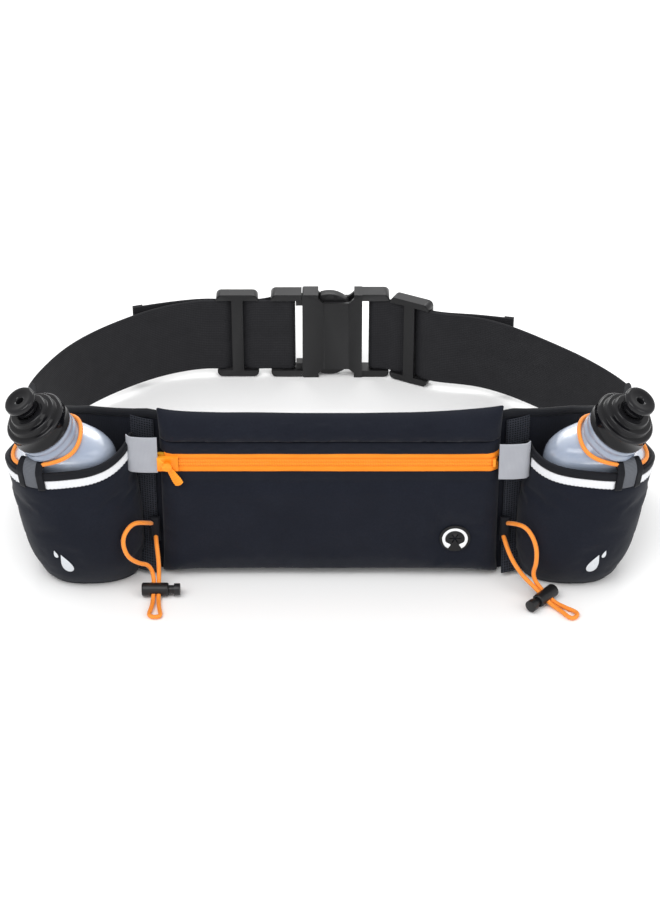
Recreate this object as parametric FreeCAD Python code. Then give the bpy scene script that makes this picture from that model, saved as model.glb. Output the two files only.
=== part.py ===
"""Running waist pack: a zipped phone pouch and two bottle pockets on a soft belt that closes at the back.

Millimetres, +Z up, +X to the wearer's left as the pack stands facing -Y. The loop stands on its lower edge.
"""
import FreeCAD
import Part
import math
import os

V = FreeCAD.Vector

# The loop
CENTRE_Y = 46.754          # front-to-back middle of the whole pack, moved to the origin on export
FRONT_Y = -43.0            # wearer's face of the belt in front
FLAT_HALF = 94.0           # half of the flat front
BACKING_T = 3.0
WING = [(94, -43), (106, -38.5), (119, -30), (135, -17), (150, -2), (162, 15), (169.5, 34), (173, 54)]
WING_TOP = [(94, 106.5), (106, 104.5), (119, 99.5), (135, 92.5), (150, 83), (163, 72), (178, 58), (190, 56)]
BINDING_H = 5.0
BINDING_EXTRA = 0.6
MESH_T = 1.0

# Webbing and its hardware
WEB_T = 1.3
WEB_W = 50.0
WEB_LOW = 5.0
BACK_Y = 158.0             # wearer's face of the webbing at the back
LAYER_GAP = 0.4
HEM_FOLD_L, HEM_FOLD_T = 9.0, 1.6
GLIDE_HALF = 13.0
GLIDE_LOW, GLIDE_HIGH = 0.5, 59.5
END_BAR_W = 4.0
CENTRE_BAR_HALF = 3.5
RAIL_ROUND = 3.4
BUCKLE_H = 60.0
BUCKLE_Y = (156.0, 167.0)
MOUTH_X = -17.2
SOCKET_END_X = 20.0
BUCKLE_HALF = 36.8
BAR_Y = (159.8, 163.2)
RAIL_H = 4.6

# Pouch and zip
POUCH_HALF = 93.5
POUCH_Y = -56.0
POUCH_LOW, POUCH_HIGH = 6.0, 107.5
PANEL_T = 1.6
POUCH_BACK_T = 1.2
POUCH_BACK_HIGH = 101.0
ZIP_Z = 78.8
ZIP_SLOT_HALF = 5.8
TAPE_T = 0.6
TEETH_H = 5.0
TEETH_T = 2.6
SLIDER_X = (-94.5, -83.0)
SLIDER_HALF = 4.4
PULL_TILT = -62.0

# Bottles: the left one is described, the right one is its mirror image
NECK_AXIS = V(-0.42, -0.26, 0.87)
BODY_AXIS = V(-0.20, -0.05, 0.978)
WIDE_HINT = V(-0.95, 0.235, -0.20)
SHOULDER = V(-146.0, -48.5, 81.0)      # middle of the full section, at the pocket's rim
BODY_LENGTH = 67.0
NECK_RISE = 23.0                       # from the shoulder to the lower edge of the cap
WALL = 1.2
WELL_GAP = 1.1
BODY_SECTIONS = [(0, 20, 10.5), (3, 23.5, 13.5), (12, 26.5, 16), (30, 29, 16.3), (46, 29, 16.3), (58, 29, 16.3),
                 (BODY_LENGTH, 29, 16.3)]
CAP_R, CAP_H = 17.0, 10.0
THREAD_R = 13.0
NOZZLE_R, HEAD_R = 6.5, 9.0

# Pocket: plan outlines at the floor, just above it and at the rim
POCKET_OUTLINES = [
    (0.0, [(-108, -38), (-110, -50), (-120, -57.5), (-137, -60), (-151, -57), (-160, -45), (-161, -28),
           (-155, -8), (-145, 4), (-125, -12)]),
    (12.0, [(-105.5, -38), (-106.5, -52), (-118, -64), (-136, -68), (-154, -64), (-165, -50), (-166, -30),
            (-160, -6), (-148, 6), (-125, -12)]),
    (50.0, [(-106, -38), (-107.5, -56), (-119, -68), (-139, -71.5), (-161, -67), (-173, -53), (-174, -33),
            (-168, -3), (-155, 14), (-125, -12)]),
    (100.0, [(-109, -38), (-110.5, -57), (-121, -70), (-143, -75), (-167, -71), (-181, -58), (-182, -36),
             (-176, -2), (-160, 20), (-125, -12)]),
]
RIM_POINT = V(-148.0, -68.0, 79.0)
RIM_NORMAL = V(-0.14, -0.25, 0.958)
REAR_RIM_POINT = V(-179.0, -45.0, 79.0)   # behind this the rim slopes down towards the belt
REAR_RIM_NORMAL = V(-0.143, 0.336, 0.931)
HEM_H = 4.6
STRIP_H = 4.8
STRIP_T = 0.5

# Elastic cords
CORD_D = 2.5
TOGGLE_R, TOGGLE_L = 3.8, 15.0
TOGGLE_ROLL = 28.0


def box(x, y, z):
    return Part.makeBox(x[1] - x[0], y[1] - y[0], z[1] - z[0], V(x[0], y[0], z[0]))


def mirrored(shape):
    return shape.mirror(V(0, 0, 0), V(1, 0, 0))


def spline(points, closed=False):
    curve = Part.BSplineCurve()
    curve.interpolate(Points=points, PeriodicFlag=closed)
    return curve


def outward(curve, at):
    """The direction across a plan curve, away from the wearer."""
    along = curve.tangent(at)[0]
    return V(along.y, -along.x, 0)


def beside(curve, distance, count):
    """Points at one distance from a plan curve, evenly spread along it."""
    first, last = curve.FirstParameter, curve.LastParameter
    places = [first + (last - first) * i / count for i in range(count + 1)]
    return [curve.value(t) + outward(curve, t) * distance for t in places]


def band(curve, near, far, low, high, pieces=8):
    """An upright strip between two distances from a plan curve, made of short lengths."""
    samples = 6
    inner = beside(curve, near, pieces * samples)
    outer = beside(curve, far, pieces * samples)
    lengths = []
    for start in range(0, pieces * samples, samples):
        near_side = inner[start:start + samples + 1]
        far_side = outer[start:start + samples + 1]
        edges = [
            spline(near_side).toShape(),
            Part.LineSegment(near_side[-1], far_side[-1]).toShape(),
            spline(far_side).toShape(),
            Part.LineSegment(far_side[0], near_side[0]).toShape(),
        ]
        face = Part.Face(Part.Wire(edges))
        face.translate(V(0, 0, low))
        lengths.append(face.extrude(V(0, 0, high - low)))
    return lengths[0].fuse(lengths[1:])


def prism_xz(points, y_low, y_high):
    """A straight-sided outline in X and Z, drawn out along Y."""
    corners = [V(x, y_low, z) for x, z in points]
    wire = Part.makePolygon(corners + corners[:1])
    return Part.Face(wire).extrude(V(0, y_high - y_low, 0))


def prism_xy(points, low, high):
    """A straight-sided outline in plan, drawn upwards."""
    corners = [V(x, y, low) for x, y in points]
    wire = Part.makePolygon(corners + corners[:1])
    return Part.Face(wire).extrude(V(0, 0, high - low))


def save(name, shape):
    moved = shape.copy()
    moved.translate(V(0, -CENTRE_Y, 0))
    moved.exportStep(os.path.join("parts", name + ".step"))


# Belt

def wing_curve():
    curve = Part.BSplineCurve()
    curve.interpolate(Points=[V(x, y, 0) for x, y in WING], InitialTangent=V(1, 0, 0), FinalTangent=V(0.1, 1, 0))
    return curve


def belt_band(near, far, low, high):
    """The whole front of the belt between two distances from the wearer's face: wing, flat front, wing."""
    right = band(wing_curve(), near, far, low, high)
    front = box((-FLAT_HALF, FLAT_HALF), (FRONT_Y - far, FRONT_Y - near), (low, high))
    return mirrored(right).fuse([front, right]).removeSplitter()


def belt_outline(drop):
    """Everything under the belt's top line, lowered by drop."""
    right = [(x, z - drop) for x, z in WING_TOP]
    left = [(-x, z) for x, z in reversed(right)]
    foot = -20.0
    return prism_xz([(-190, foot)] + left + right + [(190, foot)], -120, 120)


def belt_backing():
    return belt_band(0, BACKING_T, 0, 130).common(belt_outline(BINDING_H))


def belt_binding():
    strip = belt_band(-BINDING_EXTRA, BACKING_T + BINDING_EXTRA, 0, 130)
    return strip.common(belt_outline(0)).cut(belt_outline(BINDING_H))


def mesh_panel():
    layer = belt_band(BACKING_T, BACKING_T + MESH_T, 3, 98)
    return layer.common(box((-108, -94.2), (-80, 0), (3, 98)))


# Pouch

def pouch_shell():
    outer = box((-POUCH_HALF, POUCH_HALF), (POUCH_Y, FRONT_Y - BACKING_T - POUCH_BACK_T), (POUCH_LOW, POUCH_HIGH))
    front_edges = [e for e in outer.Edges if e.BoundBox.YMax < POUCH_Y + 0.1]
    outer = outer.makeFillet(3.0, front_edges)
    hollow = box((-POUCH_HALF + PANEL_T, POUCH_HALF - PANEL_T), (POUCH_Y + PANEL_T, FRONT_Y),
                 (POUCH_LOW + PANEL_T, POUCH_HIGH - PANEL_T))
    slot = box((-100, POUCH_HALF - 2), (POUCH_Y - 4, POUCH_Y + PANEL_T + 0.1),
               (ZIP_Z - ZIP_SLOT_HALF, ZIP_Z + ZIP_SLOT_HALF))
    slider_way = box((-100, -90), (POUCH_Y - 4, FRONT_Y - 6.5), (ZIP_Z - ZIP_SLOT_HALF, ZIP_Z + ZIP_SLOT_HALF))
    return outer.cut([hollow, slot, slider_way])


def pouch_panels():
    """The lower and the upper half of the pouch, which meet at the zip's ends."""
    shell = pouch_shell()
    lower = shell.common(box((-120, 120), (-80, -30), (-10, ZIP_Z)))
    upper = shell.common(box((-120, 120), (-80, -30), (ZIP_Z, 140)))
    return lower, upper


def pouch_back_panel():
    back = FRONT_Y - BACKING_T
    return box((-POUCH_HALF, POUCH_HALF), (back - POUCH_BACK_T, back), (POUCH_LOW, POUCH_BACK_HIGH))


def zip_tape(side):
    inner = ZIP_Z + side * TEETH_H / 2
    outer = ZIP_Z + side * 12.0
    y = POUCH_Y + PANEL_T
    return box((-90.0, 91.0), (y, y + TAPE_T), (min(inner, outer), max(inner, outer)))


def zip_teeth():
    middle = POUCH_Y + PANEL_T + TAPE_T / 2
    return box((-91.0, 89.0), (middle - TEETH_T / 2, middle + TEETH_T / 2),
               (ZIP_Z - TEETH_H / 2, ZIP_Z + TEETH_H / 2))


def zip_stop():
    middle = POUCH_Y + PANEL_T + TAPE_T / 2
    return box((89.0, 90.6), (middle - 1.8, middle + 1.8), (ZIP_Z - 2.5, ZIP_Z + 2.5))


def zip_slider():
    """Two plates with lips over the teeth, a bridge between the parting rows, and a headed post for the pull."""
    middle = POUCH_Y + PANEL_T + TAPE_T / 2
    plate_t, channel, lip_gap = 1.2, 1.7, 0.65
    whole = box(SLIDER_X, (middle - channel - plate_t, middle + channel + plate_t),
                (ZIP_Z - SLIDER_HALF, ZIP_Z + SLIDER_HALF))
    tunnel = box((SLIDER_X[0] + 2.8, SLIDER_X[1]), (middle - channel, middle + channel),
                 (ZIP_Z - TEETH_H / 2 - 0.6, ZIP_Z + TEETH_H / 2 + 0.6))
    tape_way = [box(SLIDER_X, (middle - lip_gap, middle + lip_gap), z)
                for z in ((ZIP_Z - 10, ZIP_Z - 1.2), (ZIP_Z + 1.2, ZIP_Z + 10))]
    front = middle - channel - plate_t
    post_x = SLIDER_X[0] + 5.5
    post = Part.makeCylinder(1.5, 3.0, V(post_x, front + 0.2, ZIP_Z), V(0, -1, 0))
    head = Part.makeCylinder(2.6, 0.8, V(post_x, front - 2.2, ZIP_Z), V(0, -1, 0))
    return whole.cut([tunnel] + tape_way).fuse([post, head]).removeSplitter()


def zip_pull():
    """A tapered tab with an eye round the slider's post, hanging aslant."""
    middle = POUCH_Y + PANEL_T + TAPE_T / 2
    front = middle - 2.9
    thick, length, eye_r, tip_r = 1.3, 12.0, 3.4, 2.6
    post_x = SLIDER_X[0] + 5.5
    eye = Part.makeCylinder(eye_r, thick, V(0, 0, 0), V(0, -1, 0))
    tip = Part.makeCylinder(tip_r, thick, V(length, 0, 0), V(0, -1, 0))
    neck = prism_xz([(0, -1.8), (0, 1.8), (length, tip_r), (length, -tip_r)], -thick, 0)
    hole = Part.makeCylinder(1.85, 4, V(0, 1, 0), V(0, -1, 0))
    tab = eye.fuse([tip, neck]).cut(hole).removeSplitter()
    tab.rotate(V(0, 0, 0), V(0, 1, 0), -PULL_TILT)
    tab.translate(V(post_x, front - 0.4, ZIP_Z))
    return tab


def earphone_port():
    """A slit rubber grommet through the pouch front, and the open ring printed on its rim."""
    x, z = 69.6, 28.7
    grommet = Part.makeCylinder(8.6, 0.8, V(x, POUCH_Y, z), V(0, -1, 0))
    grommet = grommet.fuse(Part.makeCylinder(5.4, PANEL_T + 1.2, V(x, POUCH_Y + PANEL_T + 0.6, z), V(0, -1, 0)))
    slits = [box((x - 3.2, x + 3.2), (POUCH_Y - 2, POUCH_Y + 4), (z - 0.3, z + 0.3)) for _ in range(3)]
    for index, slit in enumerate(slits):
        slit.rotate(V(x, 0, z), V(0, 1, 0), 60 * index)
    grommet = grommet.cut(slits).removeSplitter()
    ring = Part.makeCylinder(7.4, 0.4, V(x, POUCH_Y - 0.8, z), V(0, -1, 0))
    ring = ring.cut(Part.makeCylinder(5.8, 2, V(x, POUCH_Y, z), V(0, -1, 0)))
    ring = ring.cut(box((x - 3.4, x + 3.4), (POUCH_Y - 3, POUCH_Y + 1), (z - 9, z)))
    hole = Part.makeCylinder(5.45, 6, V(x, POUCH_Y + 4, z), V(0, -1, 0))
    return grommet, ring, hole


# Bottle, pocket and their fittings, all on the left

def bottle_directions():
    """The body's axis, its wide direction, and the way to the wearer."""
    up = V(BODY_AXIS).normalize()
    wide = V(WIDE_HINT) - up * up.dot(WIDE_HINT)
    wide.normalize()
    return up, wide, wide.cross(up)


def oval(centre, wide, thin, half_wide, half_thin, count=16):
    """A closed smooth ring in the plane of two directions, a little squarer than an ellipse."""
    points = []
    for i in range(count):
        turn = 2 * math.pi * i / count
        c, s = math.cos(turn), math.sin(turn)
        squareness = (c ** 4 + s ** 4) ** -0.08
        points.append(centre + wide * (half_wide * c * squareness) + thin * (half_thin * s * squareness))
    return Part.Wire(spline(points, True).toShape())


def body_rings(grow):
    up, wide, thin = bottle_directions()
    bottom = SHOULDER - up * BODY_LENGTH
    return [oval(bottom + up * (rise - (grow if rise == 0 else 0)), wide, thin, w + grow, t + grow)
            for rise, w, t in BODY_SECTIONS]


def neck_axis():
    return V(NECK_AXIS).normalize()


def neck_base():
    """Middle of the cap's lower edge."""
    return SHOULDER + neck_axis() * NECK_RISE


def shoulder_rings(grow):
    """Rings that turn from the body's section into the round neck."""
    up, wide, thin = bottle_directions()
    axis = neck_axis()
    steps = [(0.28, 26.8, 16.0), (0.48, 21.0, 15.4), (0.64, 15.6, 14.8)]
    rings = []
    for share, half_wide, half_thin in steps:
        lean = (up * (1 - share) + axis * share).normalize()
        across = (wide - lean * lean.dot(wide)).normalize()
        rings.append(oval(SHOULDER + axis * (NECK_RISE * share), across, across.cross(lean),
                          half_wide + grow, half_thin + grow))
    return rings


def loft(rings):
    return Part.makeLoft(rings, True, False)


def bottle():
    axis = neck_axis()
    base = neck_base()
    skin = loft(body_rings(0) + shoulder_rings(0))
    neck = Part.makeCylinder(THREAD_R, 13.0, base - axis * 4.0, axis)
    flange = Part.makeCylinder(16.4, 3.0, base - axis * 3.6, axis)
    collar = Part.makeCone(17.0, 15.2, 5.6, base - axis * 8.6, axis)
    hollow = loft(body_rings(-WALL) + shoulder_rings(-WALL - 0.4))
    mouth = Part.makeCylinder(THREAD_R - 2.0, 26.0, base - axis * 12.0, axis)
    return skin.fuse([neck, flange, collar]).cut([hollow, mouth])


def cap_pieces():
    """The stepped screw cap, the sealing disc inside it and the pull-up nozzle."""
    axis = neck_axis()
    base = neck_base()
    skirt = Part.makeCylinder(CAP_R, CAP_H, base, axis)
    ring = Part.makeCylinder(14.0, 3.6, base + axis * CAP_H, axis)
    tower = Part.makeCylinder(10.6, 3.4, base + axis * (CAP_H + 3.6), axis)
    inside = Part.makeCylinder(THREAD_R + 0.4, 11.0, base - axis, axis)
    bore = Part.makeCylinder(5.0, 30.0, base, axis)
    cap = skirt.fuse([ring, tower]).cut([inside, bore]).removeSplitter()
    liner = Part.makeCylinder(12.0, 0.9, base + axis * 9.05, axis).cut(bore)
    stem = Part.makeCylinder(4.7, 13.0, base + axis * 10.2, axis)
    throat = Part.makeCylinder(NOZZLE_R, 5.0, base + axis * 17.3, axis)
    head = Part.makeCylinder(HEAD_R, 4.2, base + axis * 22.3, axis)
    drink = Part.makeCylinder(2.0, 40.0, base, axis)
    nozzle = stem.fuse([throat, head]).cut(drink).removeSplitter()
    return cap, liner, nozzle


def bottle_well():
    """The room that the bottle needs in its pocket, all the way out."""
    up, wide, thin = bottle_directions()
    held = loft(body_rings(WELL_GAP))
    top = oval(SHOULDER + up * 120, wide, thin, BODY_SECTIONS[-1][1] + WELL_GAP, BODY_SECTIONS[-1][2] + WELL_GAP)
    return held.fuse(loft([body_rings(WELL_GAP)[-1], top]))


def pocket_form(grow):
    rings = []
    for height, outline in POCKET_OUTLINES:
        curve = spline([V(x, y, height) for x, y in outline], True)
        count = 28
        span = curve.LastParameter - curve.FirstParameter
        points = []
        for i in range(count):
            t = curve.FirstParameter + span * i / count
            points.append(curve.value(t) - outward(curve, t) * grow)
        rings.append(Part.Wire(spline(points, True).toShape()))
    return loft(rings)


def half_space(point, normal, lower_by):
    block = Part.makeBox(400, 400, 200, V(-200, -200, -lower_by))
    turn = FreeCAD.Rotation(V(0, 0, 1), V(normal))
    block.Placement = FreeCAD.Placement(V(point), turn).multiply(block.Placement)
    return block


def above_rim(lower_by):
    """Everything above the pocket's rim, or above a line that much under it."""
    return half_space(RIM_POINT, RIM_NORMAL, lower_by).fuse(half_space(REAR_RIM_POINT, REAR_RIM_NORMAL, lower_by))


def wing_blocker():
    """The belt's own thickness and the room behind it, where no pocket can be."""
    behind = prism_xy([(-FLAT_HALF, -46), (-106, -39.5), (-119, -31), (-135, -18), (-150, -3), (-162, 14),
                       (-170, 34), (-170, 60), (-FLAT_HALF, 60)], -5, 160)
    return mirrored(band(wing_curve(), -1, BACKING_T, -5, 160)).fuse(behind)


def bottle_pocket(room):
    wall = pocket_form(0).cut([room, wing_blocker(), above_rim(HEM_H), mesh_panel(), reflective_tab()])
    return biggest(wall)


def biggest(shape):
    return max(shape.Solids, key=lambda solid: solid.Volume)


def without_slivers(shape):
    return Part.makeCompound([solid for solid in shape.Solids if solid.Volume > 20])


def pocket_hem(room):
    ring = pocket_form(0.4).cut(
        [pocket_form(-2.6), room, wing_blocker(), above_rim(0), mesh_panel(), reflective_tab()])
    return without_slivers(ring.common(above_rim(HEM_H)))


def cord_tab_block(drop):
    """The block of hem and strip that the bottle's cord tab takes up."""
    middle = V(-166.0, -66.0, 78.0)
    block = Part.makeBox(13.6, 40, drop + 8.0, V(-6.8, -20, -drop - 2.0))
    turn = FreeCAD.Rotation(V(0, 0, 1), -24).multiply(FreeCAD.Rotation(V(0, 0, 1), V(0, -0.2, 1)))
    block.Placement = FreeCAD.Placement(middle, turn).multiply(block.Placement)
    return block


def reflective_strip(room):
    skin = pocket_form(STRIP_T).cut(
        [pocket_form(0), wing_blocker(), above_rim(HEM_H), room, mesh_panel(), reflective_tab()])
    facing = box((-200, -107.5), (-100, -36), (0, 150))
    return without_slivers(skin.common(above_rim(HEM_H + STRIP_H)).common(facing).cut(cord_tab_block(14.0)))


def bottle_cord_tab(room):
    """A short folded tape over the rim, which holds the ends of the bottle's elastic."""
    block = cord_tab_block(9.0)
    sheet = pocket_form(1.6).cut([pocket_form(0.45), room, wing_blocker()])
    return biggest(sheet.common(block))


def bottle_elastic():
    axis = neck_axis()
    centre = neck_base() - axis * 8.6
    return Part.makeTorus(20.0, CORD_D / 2, centre, V(axis + V(0.05, 0.08, 0.0)).normalize())


def drop_print():
    """A plain water drop on the lower front of the pocket."""
    skin = pocket_form(0.3).cut(pocket_form(0))
    drop = Part.makeCylinder(3.0, 60, V(-142.5, -100, 15.0), V(0, 1, 0))
    tail = prism_xz([(-145.2, 16.6), (-139.8, 16.6), (-146.0, 26.0)], -100, -40)
    spray = prism_xz([(-149.5, 24.0), (-147.8, 22.0), (-147.4, 26.2)], -100, -40)
    return skin.common(drop.fuse([tail, spray]))


def reflective_tab():
    """The grey tape loop that ties the pouch's end to the pocket."""
    return box((-111.5, -95.1), (-56.6, -55.6), (69.0, 92.0)).fuse(
        box((-111.5, -110.5), (-55.6, -47.0), (69.0, 92.0)))


def bib_cord_tab():
    return box((-100.5, -95.0), (-51.0, -47.1), (23.0, 38.0))


# Webbing, adjusters and buckle

def woven_path(centre, along, first_side):
    """Points of one layer through an adjuster: under its end bars, over its middle bar."""
    across = V(along.y, -along.x, 0)
    rise = [(-14.5, 0.0), (-9.4, 0.0), (-6.4, 1.0), (-3.3, 2.1), (3.3, 2.1), (6.4, 1.0), (9.4, 0.0), (14.5, 0.0)]
    return [centre + along * s + across * (t + first_side) for s, t in rise]


def web_profile(points):
    """A strap of even thickness along a plan path, standing on its edge."""
    return band(spline(points), -WEB_T / 2, WEB_T / 2, WEB_LOW, WEB_LOW + WEB_W, 20)


NEAR_LAYER = WEB_T / 2
FAR_LAYER = WEB_T * 1.5 + LAYER_GAP
LEFT_GLIDE = (V(-57.6, BACK_Y, 0), V(-1, 0, 0))
RIGHT_GLIDE = (V(49.4, 150.4, 0), V(-math.cos(math.radians(27)), math.sin(math.radians(27)), 0))


def wing_seam():
    """Where the webbing is sewn on the outside of the left wing's end, from its free end to its stitched end."""
    curve = wing_curve()
    span = curve.LastParameter - curve.FirstParameter
    reach = BACKING_T + BINDING_EXTRA + 0.2 + WEB_T / 2
    points = []
    for share in (1.0, 0.94, 0.88):
        t = curve.FirstParameter + span * share
        place = curve.value(t) + outward(curve, t) * reach
        points.append(V(-place.x, place.y, 0))
    return points


def left_web_path():
    """From the folded tail, through the adjuster, round the buckle's bar and back to the left wing."""
    centre, along = LEFT_GLIDE
    back = list(reversed(woven_path(centre, along, FAR_LAYER)))
    forth = woven_path(centre, along, NEAR_LAYER)
    tail = [V(-121.5, 147.0, 0), V(-105.0, 154.3, 0), V(-88.0, 159.0, 0)]
    wrap = [V(-36.0, 162.8, 0), V(-26.5, 164.3, 0), V(-23.2, 163.6, 0), V(-22.1, 161.5, 0), V(-23.2, 159.4, 0),
            V(-26.5, 158.65, 0), V(-36.0, 158.65, 0)]
    side = [V(-88.0, 156.4, 0), V(-108.0, 150.2, 0), V(-126.0, 140.6, 0), V(-145.0, 125.4, 0),
            V(-161.0, 106.0, 0), V(-171.0, 84.0, 0), V(-176.0, 66.0, 0)]
    return tail + back + wrap + forth + side + wing_seam()


def right_web_path():
    """From the right wing, through the adjuster, round the buckle's bar and back to the folded tail."""
    centre, along = RIGHT_GLIDE
    forth = woven_path(centre, along, NEAR_LAYER)
    back = list(reversed(woven_path(centre, along, FAR_LAYER)))
    seam = [V(-place.x, place.y, 0) for place in reversed(wing_seam())]
    side = [V(175.0, 66.0, 0), V(167.5, 83.0, 0), V(154.0, 99.0, 0),
            V(134.0, 116.0, 0), V(112.0, 130.0, 0), V(88.0, 138.8, 0)]
    wrap = [V(33.2, 158.3, 0), V(29.7, 158.65, 0), V(27.2, 158.65, 0), V(25.6, 159.4, 0), V(24.6, 161.5, 0),
            V(25.6, 163.6, 0), V(28.0, 164.3, 0), V(30.8, 164.3, 0), V(34.4, 162.5, 0)]
    tail = [V(88.0, 141.2, 0), V(99.0, 137.8, 0), V(109.5, 133.4, 0)]
    return seam + side + forth + wrap + back + tail


def tail_hem(end, before):
    """The strap's end folded over and sewn, on its outer side."""
    along = (end - before).normalize()
    across = V(along.y, -along.x, 0)
    if across.dot(end) < 0:
        across = across * -1
    near, far = WEB_T / 2 - 0.2, WEB_T / 2 + HEM_FOLD_T
    corners = [end + across * near, end + across * far, end - along * HEM_FOLD_L + across * far,
               end - along * HEM_FOLD_L + across * near]
    return prism_xy([(corner.x, corner.y) for corner in corners], WEB_LOW, WEB_LOW + WEB_W)


def strap_left():
    path = left_web_path()
    return web_profile(path).fuse(tail_hem(path[0], path[1]))


def strap_right():
    path = right_web_path()
    return web_profile(path).fuse(tail_hem(path[-1], path[-2]))


def eased(shape, radius, places):
    """Rounds the front-to-back edges that pass through the given places in X and Z."""
    edges = []
    for edge in shape.Edges:
        middle = edge.BoundBox.Center
        runs_back = edge.BoundBox.YLength > 1.5 and edge.BoundBox.XLength < 0.1 and edge.BoundBox.ZLength < 0.1
        if runs_back and any(abs(middle.x - x) < 0.2 and abs(middle.z - z) < 0.2 for x, z in places):
            edges.append(edge)
    return shape.makeFillet(radius, edges)


def adjuster(centre, along):
    """A three-bar slide: rounded rails over and under the webbing, joined by three bars."""
    half = GLIDE_HALF
    thick = (-1.3, 6.2)
    low_rail = eased(box((-half, half), thick, (GLIDE_LOW, WEB_LOW - 0.4)), RAIL_ROUND,
                     [(-half, GLIDE_LOW), (half, GLIDE_LOW)])
    high_rail = eased(box((-half, half), thick, (WEB_LOW + WEB_W + 0.4, GLIDE_HIGH)), RAIL_ROUND,
                      [(-half, GLIDE_HIGH), (half, GLIDE_HIGH)])
    bar_z = (WEB_LOW - 1.0, WEB_LOW + WEB_W + 1.0)
    bars = [box((s - END_BAR_W / 2, s + END_BAR_W / 2), (3.6, 6.2), bar_z)
            for s in (-half + END_BAR_W / 2, half - END_BAR_W / 2)]
    bars.append(box((-CENTRE_BAR_HALF, CENTRE_BAR_HALF), (-1.3, 1.75), bar_z))
    frame = low_rail.fuse([high_rail] + bars).removeSplitter()
    frame.rotate(V(0, 0, 0), V(0, 0, 1), math.degrees(math.atan2(-along.y, -along.x)))
    frame.translate(centre)
    return frame


def buckle_rails(near_x, far_x, inset):
    """The two rails beside the webbing, rounded at their far ends."""
    y = (BUCKLE_Y[0] + 0.5, BUCKLE_Y[1] - 0.5)
    x = (min(near_x, far_x), max(near_x, far_x))
    low = eased(box(x, y, (inset, RAIL_H)), RAIL_ROUND, [(far_x, inset)])
    high = eased(box(x, y, (BUCKLE_H - RAIL_H, BUCKLE_H - inset)), RAIL_ROUND, [(far_x, BUCKLE_H - inset)])
    return [low, high]


def buckle_male():
    """End rails and bar for the webbing, a hub that enters the socket, and a middle guide."""
    inner_y = (158.4, 164.6)
    rails = buckle_rails(MOUTH_X - 0.4, -BUCKLE_HALF, 0.3)
    bar = box((-28.5, -24.2), BAR_Y, (RAIL_H - 1.0, BUCKLE_H - RAIL_H + 1.0))
    cheeks = [box((MOUTH_X - 4.0, -12.0), inner_y, z) for z in ((3.4, 9.0), (BUCKLE_H - 9.0, BUCKLE_H - 3.4))]
    hub = box((-16.4, -12.0), inner_y, (3.4, BUCKLE_H - 3.4))
    guide = box((-12.0, 13.0), (159.5, 163.5), (27.0, 33.0))
    return rails[0].fuse([rails[1], bar, hub, guide] + cheeks).removeSplitter()


def buckle_prong_upper():
    """A springy arm with a curved thumb pad that stands in the socket's side window."""
    root = [(-5.0, 47.0), (-11.4, 46.0), (-11.4, 50.0), (-6.6, 52.5)]
    pad = [(-6.4, 57.4), (-5.6, 58.3), (-3.4, 58.9), (-0.8, 59.15), (2.2, 59.0), (5.0, 58.2), (8.0, 56.6),
           (10.6, 54.4), (12.2, 52.2), (12.4, 50.4), (2.0, 49.0)]
    return prism_xz(root + pad, 158.6, 164.4)


def finger_window():
    """The opening over one prong, wider at its mouth and rounded at its foot."""
    outline = [(-7.2, BUCKLE_H + 1), (-7.2, 57.0), (-4.2, 54.0), (12.0, 54.0), (15.0, 57.0), (15.0, BUCKLE_H + 1)]
    return eased(prism_xz(outline, BUCKLE_Y[0] - 1, BUCKLE_Y[1] + 1), 2.0, [(-4.2, 54.0), (12.0, 54.0)])


def buckle_female():
    outer = eased(box((MOUTH_X, SOCKET_END_X), BUCKLE_Y, (0, BUCKLE_H)), 1.2, [(MOUTH_X, 0), (MOUTH_X, BUCKLE_H)])
    hollow = box((MOUTH_X - 1, SOCKET_END_X - 3.0), (158.0, 165.0), (3.0, BUCKLE_H - 3.0))
    window = finger_window()
    lower_window = window.mirror(V(0, 0, BUCKLE_H / 2), V(0, 0, 1))
    bar = box((26.6, 30.6), BAR_Y, (RAIL_H - 1.0, BUCKLE_H - RAIL_H + 1.0))
    body = outer.cut([hollow, window, lower_window])
    return body.fuse(buckle_rails(SOCKET_END_X, BUCKLE_HALF, 0) + [bar]).removeSplitter()


# Bib cords and toggles

def rounded_route(points):
    """Straight runs joined by tangent arcs, each as large as its two runs allow."""
    edges = []
    radii = []
    start = points[0]
    for before, corner, after in zip(points, points[1:], points[2:]):
        way_in = (corner - before).normalize()
        way_out = (after - corner).normalize()
        half_turn = way_in.getAngle(way_out) / 2
        reach = 0.45 * min((corner - before).Length, (after - corner).Length)
        radius = reach / math.tan(half_turn)
        radii.append(radius)
        first = corner - way_in * reach
        last = corner + way_out * reach
        middle_way = (way_out - way_in).normalize()
        middle = corner + middle_way * (radius / math.cos(half_turn) - radius)
        edges.append(Part.LineSegment(start, first).toShape())
        edges.append(Part.Arc(first, middle, last).toShape())
        start = last
    edges.append(Part.LineSegment(start, points[-1]).toShape())
    return Part.Wire(edges), radii


def cord_tube(name, points):
    route, radii = rounded_route(points)
    start = points[0]
    section = Part.Wire(Part.makeCircle(CORD_D / 2, start, points[1] - start))
    tube = route.makePipeShell([section], True, True)
    expected = math.pi * CORD_D ** 2 / 4 * route.Length
    print("%s length %.1f volume ratio %.3f radii %s" % (
        name, route.Length, tube.Volume / expected, " ".join("%.1f" % r for r in radii)))
    return tube


def place_toggle(shape, centre, along):
    """Lays a toggle, made round the origin with its barrel along X, on the floor and rolls it to meet the cord."""
    shape.rotate(V(0, 0, 0), V(1, 0, 0), TOGGLE_ROLL if along.x > 0 else -TOGGLE_ROLL)
    shape.rotate(V(0, 0, 0), V(0, 0, 1), math.degrees(math.atan2(along.y, along.x)))
    shape.translate(centre)
    return shape


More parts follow.
